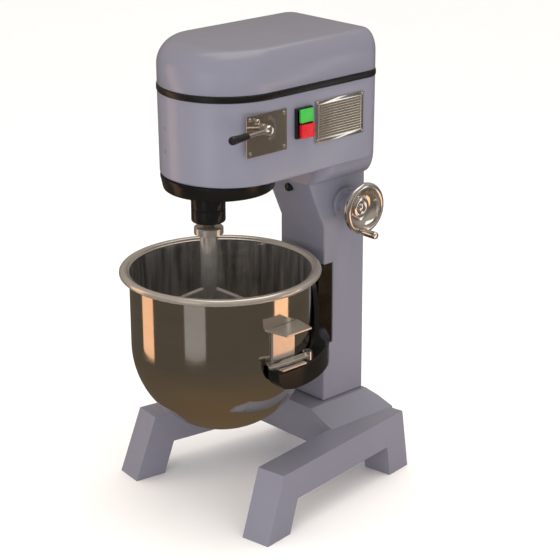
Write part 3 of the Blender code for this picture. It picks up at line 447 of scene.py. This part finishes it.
def column():
    """The column's casting with its neck under the head, and what is fixed to it."""
    low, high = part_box("column_casting")
    rails_low, rails_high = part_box("slide_rail_right")
    half, rear, top = 0.072, high.y, high.z
    front, gusset, notch = 0.146, 0.101, rails_high.y + GAP
    shoulder, neck_wide, neck_grows = 0.7145, 0.0705, 0.0505
    outline = [
        (front, low.z), (rear, low.z), (rear, top), (gusset, top), (gusset, 0.709), (front, 0.605),
        (front, rails_high.z + GAP), (notch, rails_high.z + GAP), (notch, rails_low.z - GAP),
        (front, rails_low.z - GAP),
    ]
    casting = prism("column_look", outline, -half, half, "X", bevel=0.0045, segments=4)
    levels = [(shoulder, neck_wide, 0.004)]
    for k in range(1, 13):
        turn = math.pi / 2 * k / 12
        levels.append((shoulder + (top - shoulder) * (1 - math.cos(turn)) ** 0.85,
                       neck_wide + neck_grows * math.sin(turn), 0.006 + 0.034 * math.sin(turn)))
    rings = []
    foot = gusset - 0.004
    for z, wide, corner in levels:
        ring = arc((wide - corner, rear - corner), corner, 0, 90, 12)
        ring += arc((corner - wide, rear - corner), corner, 90, 180, 12)
        ring += arc((corner - wide, foot + corner), corner, 180, 270, 12)
        ring += arc((wide - corner, foot + corner), corner, 270, 360, 12)
        rings.append([(*p, z) for p in ring])
    fuse(casting, loft("neck", rings))
    past = rear + 0.01
    cut(
        casting,
        box("lower_hollow", (-0.060, 0.187, 0.200), (0.060, past, 0.540)),
        box("upper_hollow", (-0.060, 0.160, 0.535), (0.060, past, 0.755)),
        box("nut_slot", (-0.016, 0.170, 0.345), (0.016, 0.190, 0.490)),
        rod("shaft_hole", 0.0105, 0.055, 0.080, WHEEL_AXIS, "X"),
        rod("plug_hole", 0.0103, 0.095, 0.113, PLUG_AXIS, "Y"),
    )
    show(casting, "paint", "root", "column_casting")
    for name in ("slide_rail_left", "slide_rail_right", "lift_slide"):
        eased(name, 0.001, look=RAIL)
    cover_low, cover_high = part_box("column_rear_cover")
    eased("column_rear_cover", 0.0008)
    for k in range(8):
        x = (cover_low.x + 0.008, cover_high.x - 0.008)[k % 2]
        z = cover_low.z + 0.010 + (cover_high.z - cover_low.z - 0.020) * (k // 2) / 3
        screw(f"cover_screw_{k}", (x, cover_high.y, z), "Y", 1, 0.0035, "root")
    plug_low, plug_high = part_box("column_plug")
    radius, face = (plug_high.x - plug_low.x) / 2, plug_low.y
    plug = [(0, face)] + [(radius * 0.96 * math.sin(t), face + 0.003 * (1 - math.cos(t)))
                          for t in (math.pi / 2 * k / 6 for k in range(1, 7))]
    plug += [(radius, face + 0.005), (radius, plug_high.y), (0, plug_high.y)]
    show(turned("plug_look", plug, PLUG_AXIS, "Y", 32), "black_plastic", "root", "column_plug")
    eased("cable_gland", 0.0008)


# ---- head ---------------------------------------------------------------------------------------
HEAD_LOW, HEAD_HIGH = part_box("head_housing")
HEAD_HALF = HEAD_HIGH.x
NOSE_Y = HEAD_LOW.y + HEAD_HALF
NOSE_STEPS, CORNER_STEPS = 72, 14


def head_outline(side, front, rear, z):
    """The head's plan at one height, drawn in by side, front and rear: a round nose, a square tail."""
    half, reach = HEAD_HALF - side, HEAD_HALF - front
    back, corner = HEAD_HIGH.y - rear, 0.040 - min(side, rear, 0.02)
    plan = []
    for k in range(NOSE_STEPS + 1):
        turn = math.pi + math.pi * k / NOSE_STEPS
        plan.append((half * math.cos(turn), NOSE_Y + reach * math.sin(turn)))
    plan += arc((half - corner, back - corner), corner, 0, 90, CORNER_STEPS)
    plan += arc((-half + corner, back - corner), corner, 90, 180, CORNER_STEPS)
    return [(x, y, z) for x, y in plan]


def even_outline(inset, z):
    return head_outline(inset, inset, inset, z)


def housing():
    """The hollow head, open to the controls and bearings, with two small screws on its nose."""
    floor, split, shell, draft, ease = HEAD_LOW.z, HEAD_HIGH.z, 0.008, 0.0015, 0.006
    rings = [even_outline(shell + draft, floor + 0.010), even_outline(shell, split)]
    rings += [even_outline(0.0020, split), even_outline(0.0006, split - 0.0006),
              even_outline(0, split - 0.0022)]
    for k in range(7):
        turn = math.pi / 2 * k / 6
        rings.append(even_outline(draft + ease * (1 - math.cos(turn)), floor + ease * (1 - math.sin(turn))))
    body = loft("housing_look", rings)
    plates = [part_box(n) for n in ("vent_panel_right", "vent_panel_left", "switch_housing")]
    tools = []
    for low, high in plates:
        middle = (low.x + high.x) / 2
        tools.append(box("opening", (middle - 0.03, low.y + 0.010, low.z + 0.010),
                         (middle + 0.03, high.y - 0.010, high.z - 0.010)))
    tools += [
        rod("bearing_seat", 0.026, 0.760, 0.790, BOWL_AXIS),
        rod("counter_seat", 0.0205, 0.772, 0.790, COUNTER_AXIS),
        rod("lever_hole", 0.0068, 0.11, 0.17, LEVER_AXIS, "X"),
    ]
    show(cut(body, *tools), "paint", "root", "head_housing")
    for k, (x, z) in enumerate(((-0.034, 0.880), (-0.034, 0.829))):
        y = NOSE_Y - math.sqrt(HEAD_HALF ** 2 - x ** 2) + 0.0002
        rim = turned(f"nose_screw_{k}", [(0, y), (0.0028, y), (0.0031, y - 0.0007), (0.0026, y - 0.0012),
                                        (0.0018, y - 0.0012), (0.0016, y - 0.0004), (0, y - 0.0004)],
                     (x, z), "Y", 24)
        show(rim, "paint", "root")


def gasket():
    """The rubber strip between housing and hood, with a round outer face."""
    low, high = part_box("head_gasket")
    rings = []
    for k in range(9):
        turn = math.pi * (k / 8 - 0.5)
        out = 0.0018 * math.cos(turn) ** 0.6 if 0 < k < 8 else 0.0
        rings.append(even_outline(-out, (low.z + high.z) / 2 + (high.z - low.z) / 2 * math.sin(turn)))
    rings += [even_outline(0.009, high.z), even_outline(0.009, low.z)]
    show(loft("gasket_look", rings, closed=True), "rubber", "root", "head_gasket", sharp=math.radians(50))


def hood():
    """The domed cover, with the wall that it has inside."""
    low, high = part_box("head_hood")
    base, shoulder, wall = low.z, low.z + 0.040, 0.004
    rise = high.z - shoulder
    angles = [math.pi / 2 * k / 12 for k in range(1, 13)]

    def crown(inset, turn, drop):
        side, front, rear = (inset + d * (1 - math.cos(turn)) for d in (0.028, 0.060, 0.030))
        return head_outline(side, front, rear, shoulder + (rise - drop) * math.sin(turn))

    inside = [crown(wall, turn, wall) for turn in reversed(angles[1::2])]
    rings = inside + [even_outline(wall, shoulder), even_outline(wall, base)]
    rings += [even_outline(0.0012, base), even_outline(0, base + 0.0012), even_outline(0, shoulder)]
    rings += [crown(0, turn, 0) for turn in angles]
    show(loft("hood_look", rings), "paint", "root", "head_hood", sharp=math.radians(50))


def controls():
    """The gear selector with its lever, and the switch with its two buttons."""
    low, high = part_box("gear_selector_plate")
    face = high.x
    show(copied("selector_look", "gear_selector_plate"), PLATE, "root", "gear_selector_plate", ease=0.0006)
    inset = 0.0085
    for k in range(4):
        y = (low.y + inset, high.y - inset)[k % 2]
        z = (low.z + inset, high.z - inset)[k // 2]
        screw(f"selector_screw_{k}", (face, y, z), "X", 1, 0.0042, "root", turn=0.3 + k)
    knob_y, knob_z = low.y + 0.026, high.z - 0.014
    knob = [(0, face), (0.0060, face), (0.0060, face + 0.0016), (0.0042, face + 0.0020),
            (0.0040, face + 0.0036), (0.0056, face + 0.0044), (0.0060, face + 0.0060),
            (0.0050, face + 0.0074), (0.0028, face + 0.0082), (0, face + 0.0084)]
    show(turned("selector_knob", knob, (knob_y, knob_z), "X", 32), "chrome", "root")
    arc_plate = []
    for radius, start, end in ((0.030, -70, 70), (0.0225, 70, -70)):
        arc_plate += arc(LEVER_AXIS, radius, start, end, 24)
    quadrant = prism("selector_quadrant", arc_plate, face, face + 0.0012, "X")
    show(quadrant, "chrome", "root", ease=0.0003, segments=2)

    hub = [(0, 0.1170), (0.0062, 0.1170), (0.0062, face + 0.0004), (0.0108, face + 0.0004),
           (0.0112, face + 0.0012), (0.0112, face + 0.0105), (0.0104, face + 0.0130),
           (0.0085, face + 0.0150), (0, face + 0.0160)]
    lever = turned("lever_look", hub, LEVER_AXIS, "X", 40)
    crank = rod("crank", 0.016, 0.116, 0.122, LEVER_AXIS, "X")
    pin = rod("pin", 0.003, 0.106, 0.118, (LEVER_AXIS[0] + 0.012, LEVER_AXIS[1]), "X")
    start, end = Vector((0.157, *LEVER_AXIS)), Vector((0.1810, -0.176, 0.898))
    arm = bar("arm", start, end, [(0, 0.0050), (0.55, 0.0046), (0.93, 0.0044), (1, 0.0036)])
    show(fuse(lever, crank, pin, arm), "chrome", "lever", "gear_lever")
    run = (end - start).normalized()
    foot, tip = end + run * GAP, end + run * 0.0626
    shape = [(0, 0.0050), (0.02, 0.0072), (0.06, 0.0080), (0.30, 0.0077), (0.62, 0.0084), (0.86, 0.0091),
             (0.94, 0.0088), (0.98, 0.0076), (1.0, 0.0050)]
    show(bar("grip_look", foot, tip, shape, 32), "black_plastic", "lever", "lever_grip")

    eased("switch_housing", 0.0010)
    for name in ("start_button", "stop_button"):
        eased(name, 0.0022, 5)


def vents():
    """The vent panels: a frame, thirteen overlapping blades and four screws on each side."""
    for side, name in ((1, "vent_panel_right"), (-1, "vent_panel_left")):
        low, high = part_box(name)
        back, face = (low.x, high.x) if side > 0 else (high.x, low.x)
        border, corner, slats = 0.0085, 0.0050, 13
        x = sorted((back, face))
        panel = box(name + "_look", (x[0], low.y, low.z), (x[1], high.y, high.z), bevel=0.0007)
        cut(panel, box("window", (x[0] - 0.01, low.y + border, low.z + border),
                       (x[1] + 0.01, high.y - border, high.z - border)))
        show(panel, "chrome", "root", name)
        bottom, top = low.z + border, high.z - border
        pitch = (top - bottom) / slats
        blades = []
        for k in range(slats):
            z = bottom + k * pitch
            inner, outer = face - side * 0.0026, face - side * 0.0002
            outline = [(inner, z + pitch * 1.16), (inner, z + pitch * 0.20), (outer, z + pitch * 0.06),
                       (outer, z + pitch * 0.22), (inner + side * 0.0006, z + pitch * 0.98)]
            blades.append(prism("blade", outline, low.y + border - 0.001, high.y - border + 0.001, "Y"))
        joined(name + "_slats", blades, PLATE, "root")
        for k in range(4):
            y = (low.y + corner, high.y - corner)[k % 2]
            z = (low.z + corner, high.z - corner)[k // 2]
            screw(f"{name}_screw_{k}", (face, y, z), "X", side, 0.0036, "root", turn=0.2 + 0.7 * k)


def joined(name, parts, look, body):
    """Several loose solids as one piece."""
    shape = bmesh.new()
    for part in parts:
        shape.from_mesh(part.data)
        bpy.data.objects.remove(part)
    mesh = bpy.data.meshes.new(name)
    shape.to_mesh(mesh)
    shape.free()
    made = bpy.data.objects.new(name, mesh)
    bpy.context.scene.collection.objects.link(made)
    return show(made, look, body)


# ---- planetary head -----------------------------------------------------------------------------
def planetary():
    """The flange under the head, the turning carrier in it, and the hub with the beater."""
    low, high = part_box("planetary_flange")
    centre = ((low.x + high.x) / 2, (low.y + high.y) / 2)
    opening, wide, base, top = 0.1090, (high.x - low.x) / 2, low.z, high.z
    flange = [(opening, base), (wide - 0.0110, base), (wide - 0.0085, base + 0.0008),
              (wide - 0.0062, base + 0.0026), (wide - 0.0048, base + 0.0060), (wide - 0.0006, top - 0.0060),
              (wide, top - 0.0040), (wide, top), (opening, top)]
    show(turned("flange_look", flange, centre, steps=128), "black_enamel", "root", "planetary_flange",
         sharp=math.radians(50))
    low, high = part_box("planet_carrier")
    wide = (high.x - low.x) / 2
    bore, boss, boss_z = 0.0143, 0.022, low.z + 0.0094
    disc = [(bore, low.z), (wide - 0.004, low.z), (wide - 0.0012, low.z + 0.0010), (wide, low.z + 0.0034),
            (wide, boss_z), (boss, boss_z), (boss, high.z), (bore, high.z)]
    spindle_low, spindle_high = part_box("agitator_spindle")
    agitator = ((spindle_low.x + spindle_high.x) / 2, (spindle_low.y + spindle_high.y) / 2)
    carrier = turned("carrier_look", disc, centre, steps=128)
    show(cut(carrier, rod("bore", 0.0128, 0.73, 0.77, agitator)), "black_enamel", "planetary",
         "planet_carrier", sharp=math.radians(50))
    for k in range(6):
        turn = math.radians(60 * k + 20)
        at = (centre[0] + 0.088 * math.cos(turn), centre[1] + 0.088 * math.sin(turn), low.z)
        screw(f"carrier_bolt_{k}", at, "Z", -1, 0.0052, "planetary", look="machined_steel", turn=k)

    low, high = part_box("agitator_hub")
    bore, wide, base, top = 0.0125, (high.x - low.x) / 2, low.z, high.z
    groove = base + 0.030
    hub = [(bore, base), (wide - 0.0060, base), (wide - 0.0030, base + 0.0006),
           (wide - 0.0010, base + 0.0020), (wide, base + 0.0042), (wide, groove - 0.0016),
           (wide - 0.0004, groove - 0.0006), (wide - 0.0013, groove), (wide - 0.0004, groove + 0.0006),
           (wide, groove + 0.0016), (wide, top - 0.0020), (wide - 0.0010, top - 0.0006),
           (wide - 0.0024, top), (bore, top)]
    show(turned("hub_look", hub, agitator, steps=72), "black_enamel", "agitator", "agitator_hub",
         sharp=math.radians(50))
    show(copied("beater_look", "flat_beater"), "cast_aluminium", "agitator", "flat_beater", ease=0.0022)


# ---- bowl, yoke and lift ------------------------------------------------------------------------
def bowl():
    """The turned bowl with its rolled rim, and the brackets on its sides."""
    low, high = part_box("bowl_shell")
    centre = ((low.x + high.x) / 2, (low.y + high.y) / 2)
    rim, radius, bead, flat = (high.x - low.x) / 2, SHELL_RADIUS, 0.0095, 0.85
    round_z = low.z + radius
    rim_z = high.z - bead * flat
    inner, steps = radius - SHELL_WALL, 48

    def bottom(size, order):
        return [(size * math.sin(math.pi / 2 * k / steps), round_z - size * math.cos(math.pi / 2 * k / steps))
                for k in order]

    profile = bottom(radius, range(steps + 1))
    profile += [(radius, rim_z - 0.030), (radius, rim_z - 0.0075), (radius, rim_z - 0.0045),
                (radius + 0.0006, rim_z - 0.0036)]
    profile += [(r, rim_z + (z - rim_z) * flat) for r, z in arc((rim - bead, rim_z), bead, 202, 520, 32)]
    profile += [(inner + 0.0012, rim_z + 0.0015), (inner + 0.0003, rim_z - 0.006), (inner, rim_z - 0.016)]
    profile += bottom(inner, range(steps, -1, -1))
    profile[0], profile[-1] = (0, profile[0][1]), (0, profile[-1][1])
    show(turned("bowl_look", profile, centre, steps=192), "polished_steel", "carriage", "bowl_shell",
         sharp=math.radians(60))
    for node in ("bowl_bracket_left", "bowl_bracket_right"):
        show(copied(node + "_look", node), SATIN, "carriage", node, ease=0.0012)


def smooth_step(value):
    value = min(max(value, 0.0), 1.0)
    return value * value * (3 - 2 * value)


def yoke():
    """The black casting round the back of the bowl: a thin plate behind, over two thick arms."""
    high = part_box("bowl_yoke")[1]
    inner, outer, thin, back = 0.206, high.x, 0.217, high.y - BOWL_AXIS[1]
    arm_top, plate_top, chamfer = 0.3855, high.z, 0.003
    tips = ((-0.146, 0.366), (-0.139, 0.3535), (-0.128, 0.345), (-0.115, 0.3415))
    rings = []

    def station(inside, outside, upper, base, rise):
        top = arm_top + (plate_top - arm_top) * rise
        shelf = arm_top - chamfer / 2 + 0.012 * rise
        return [(*inside, base), (*outside, base), (*outside, arm_top - chamfer), (*upper, shelf),
                (*upper, top), (*inside, top)]

    def tip(side, y, base):
        return station((side * inner, y), (side * outer, y), (side * (outer - chamfer), y), base, 0)

    for y, base in tips:
        rings.append(tip(1, y, base))
    steps = 96
    for k in range(steps + 1):
        turn = math.pi * k / steps
        lean = math.degrees(abs(turn - math.pi / 2))
        reach = min(outer, back / max(math.sin(turn), 0.1))
        rise = 1 - smooth_step((lean - 22) / 34)
        arm = 1 - smooth_step(rise / 0.15)
        slim = reach - chamfer + (thin - reach + chamfer) * smooth_step((lean - 12) / 12)
        waist = slim + (reach - chamfer - slim) * arm
        places = [(r * math.cos(turn), BOWL_AXIS[1] + r * math.sin(turn)) for r in (inner, reach, waist)]
        rings.append(station(*places, 0.330 + 0.008 * smooth_step((lean - 20) / 40), rise))
    for y, base in reversed(tips):
        rings.append(tip(-1, y, base))
    show(loft("yoke_look", rings), "black_enamel", "carriage", "bowl_yoke", ease=0.0022, segments=4,
         sharp=math.radians(40))


def clamps():
    """The latches over the bowl's ears, each with a bolt head on its pivot."""
    for node in ("bowl_clamp_left", "bowl_clamp_right"):
        low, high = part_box(node)
        show(copied(node + "_look", node), "chrome", BODY[node], node, ease=0.0010)
        side = 1 if low.x + high.x > 0 else -1
        at = (side * 0.219, -0.044)
        cap = [(0, 0.4039), (0.0072, 0.4039), (0.0072, 0.4062), (0.0060, 0.4078), (0.0030, 0.4086),
               (0, 0.4087)]
        show(turned(node + "_cap", cap, at, steps=6), "machined_steel", BODY[node])


def handwheel():
    """The dished wheel on its flange, with a turning grip near its rim."""
    profile = [(0.0095, 0.104), (0.0165, 0.104), (0.0175, 0.1050), (0.0185, 0.109), (0.0215, 0.1115),
               (0.030, 0.1140), (0.037, 0.1165), (0.0420, 0.1205)]
    profile += arc((0.0505, 0.133), 0.0085, -125, 124, 26)
    profile += [(0.0450, 0.1370), (0.0425, 0.1318), (0.0390, 0.1270), (0.0345, 0.1235), (0.0300, 0.1214),
                (0.0262, 0.1205), (0.0245, 0.1206), (0.0240, 0.1216), (0.0238, 0.1240), (0.0232, 0.1254),
                (0.0216, 0.1264), (0.0130, 0.1265), (0.0115, 0.1260), (0.0095, 0.1258)]
    wheel = turned("handwheel_look", profile, WHEEL_AXIS, "X", 96)
    pin = rod("pin", 0.0040, 0.135, 0.188, GRIP_AXIS, "X")
    show(fuse(wheel, pin), "chrome", "wheel", "handwheel", sharp=math.radians(45))
    cap = [(0, 0.1256), (0.0093, 0.1256), (0.0093, 0.1272), (0.0084, 0.1284), (0.0050, 0.1294), (0, 0.1298)]
    show(turned("handwheel_cap", cap, WHEEL_AXIS, "X", 40), "chrome", "wheel")
    grip_low, grip_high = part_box("handwheel_grip")
    back, tip = grip_low.x, grip_high.x
    shape = [(0.0046, back), (0.0062, back), (0.0070, back + 0.0010), (0.0078, back + 0.0040),
             (0.0084, back + 0.014), (0.0086, back + 0.026), (0.0085, tip - 0.006),
             (0.0080, tip - 0.0022), (0.0068, tip - 0.0005), (0.0046, tip)]
    show(turned("wheel_grip_look", shape, GRIP_AXIS, "X", 40), "chrome", "grip", "handwheel_grip")
    low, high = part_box("handwheel_flange")
    wide = (high.y - low.y) / 2
    flange = [(0.0097, low.x), (wide, low.x), (wide, low.x + 0.0045), (wide - 0.0006, low.x + 0.0062),
              (wide - 0.0024, low.x + 0.0080), (0.0270, low.x + 0.0095), (0.0235, low.x + 0.0110),
              (0.0222, low.x + 0.0140), (0.0215, high.x - 0.0010), (0.0205, high.x), (0.0097, high.x)]
    show(turned("wheel_flange_look", flange, WHEEL_AXIS, "X", 64), "paint", "root", "handwheel_flange")
    for k in range(3):
        turn = math.radians(120 * k + 75)
        at = (low.x + 0.0092, WHEEL_AXIS[0] + 0.0315 * math.cos(turn),
              WHEEL_AXIS[1] + 0.0315 * math.sin(turn))
        screw(f"flange_screw_{k}", at, "X", 1, 0.0030, "root", turn=k)


def inner_pieces():
    """The gears, shafts and bearings keep their CAD shape and get the finish of their slot."""
    for node, made in frame["nodes"].items():
        if not made.hide_render:
            made.data.materials.clear()
            made.data.materials.append(FINISH[SLOT[node]])


# ---- studio -------------------------------------------------------------------------------------
TUNGSTEN = (1.0, 0.55, 0.31)
DAYLIGHT = (1.0, 1.0, 1.0)


def studio():
    """A pale floor, soft lamps, and a sky that is pale to the eye and dim in the gloss of metal."""
    bpy.ops.mesh.primitive_plane_add(size=24, location=(0, 0, 0))
    floor = bpy.context.object
    floor.name = "floor"
    floor.data.materials.append(finish("floor", (0.94, 0.94, 0.955), (0.96, 0.96, 0.975), (0.7, 0.8),
                                       relief=0.01, cloud=1.0, wear=0.0))
    floor.visible_glossy = False
    world = bpy.data.worlds.new("studio")
    world.use_nodes = True
    tree = world.node_tree

    def by_height(*stops):
        climb = tree.nodes.new("ShaderNodeValToRGB")
        for k, (height, colour) in enumerate(stops):
            stop = climb.color_ramp.elements[k] if k < 2 else climb.color_ramp.elements.new(height)
            stop.position, stop.color = height, (*colour, 1)
        tree.links.new(level.outputs["Result"], climb.inputs["Fac"])
        return climb.outputs["Color"]

    place, parts, level, path, choice = (
        tree.nodes.new("ShaderNode" + n) for n in ("TexCoord", "SeparateXYZ", "MapRange", "LightPath", "Mix")
    )
    level.inputs["From Min"].default_value = -1.0
    tree.links.new(place.outputs["Generated"], parts.inputs[0])
    tree.links.new(parts.outputs["Z"], level.inputs["Value"])
    pale = by_height((0.55, (1.03, 1.03, 1.05)), (0.88, (1.13, 1.09, 1.02)))
    dim = by_height((0.0, (0.17, 0.115, 0.065)), (0.30, (0.105, 0.086, 0.064)), (0.48, (0.12, 0.10, 0.08)),
                    (0.70, (0.34, 0.30, 0.26)), (1.0, (0.36, 0.33, 0.30)))
    choice.data_type = "RGBA"
    tree.links.new(path.outputs["Is Glossy Ray"], choice.inputs[0])
    otherwise, glossy, chosen = MIX_SOCKETS["RGBA"]
    tree.links.new(pale, choice.inputs[otherwise])
    tree.links.new(dim, choice.inputs[glossy])
    tree.links.new(choice.outputs[chosen], tree.nodes["Background"].inputs["Color"])
    bpy.context.scene.world = world
    for name, at, aim, size, power, colour, in_gloss in (
        ("key", (1.0, -2.9, 0.30), 0.4, (1.6, 1.6), 29, DAYLIGHT, False),
        ("fill", (2.9, -0.9, 0.25), 0.4, (1.5, 1.5), 22, DAYLIGHT, False),
        ("top", (0.2, 0.4, 3.2), 0.5, (2.4, 2.4), 26, (1.0, 0.93, 0.84), True),
        ("strip_left", (-0.71, -0.76, 0.62), 0.62, (0.36, 1.16), 1.6, TUNGSTEN, True),
        ("strip_right", (0.80, 0.44, 0.24), 0.24, (0.36, 0.42), 0.72, TUNGSTEN, True),
        ("strip_back", (0.84, 0.80, 0.55), 0.55, (0.12, 0.70), 0.34, DAYLIGHT, True),
        ("card_front", (0.35, -1.09, 0.62), 0.62, (0.46, 1.16), 0.42, DAYLIGHT, True),
    ):
        lamp = bpy.data.lights.new(name, "AREA")
        lamp.energy, lamp.color, lamp.shape, lamp.size, lamp.size_y = power, colour, "RECTANGLE", *size
        made = bpy.data.objects.new(name, lamp)
        made.location = at
        made.rotation_euler = (Vector((0, 0, aim)) - Vector(at)).to_track_quat("-Z", "Y").to_euler()
        made.visible_glossy, made.visible_camera = in_gloss, False
        bpy.context.scene.collection.objects.link(made)


def camera():
    """The photograph's viewpoint, solved from the machine's edges."""
    turn, tilt, roll = math.radians(47.57), math.radians(19.89), math.radians(-0.23)
    ahead = Vector((-math.sin(turn) * math.cos(tilt), math.cos(turn) * math.cos(tilt), -math.sin(tilt)))
    right = Vector((math.cos(turn), math.sin(turn), 0))
    up = right.cross(ahead)
    rolled = right * math.cos(roll) + up * math.sin(roll)
    upright = up * math.cos(roll) - right * math.sin(roll)
    lens = bpy.data.cameras.new("camera")
    lens.lens, lens.sensor_width = 112.994, 36.0
    made = bpy.data.objects.new("camera", lens)
    made.matrix_world = Matrix.Translation((2.7689, -2.4540, 1.8357)) @ Matrix(
        (rolled, upright, -ahead)
    ).transposed().to_4x4()
    bpy.context.scene.collection.objects.link(made)
    bpy.context.scene.camera = made
    bpy.context.scene.view_settings.view_transform = "Standard"


base()
column()
housing()
gasket()
hood()
controls()
vents()
planetary()
bowl()
yoke()
clamps()
handwheel()
inner_pieces()
studio()
camera()
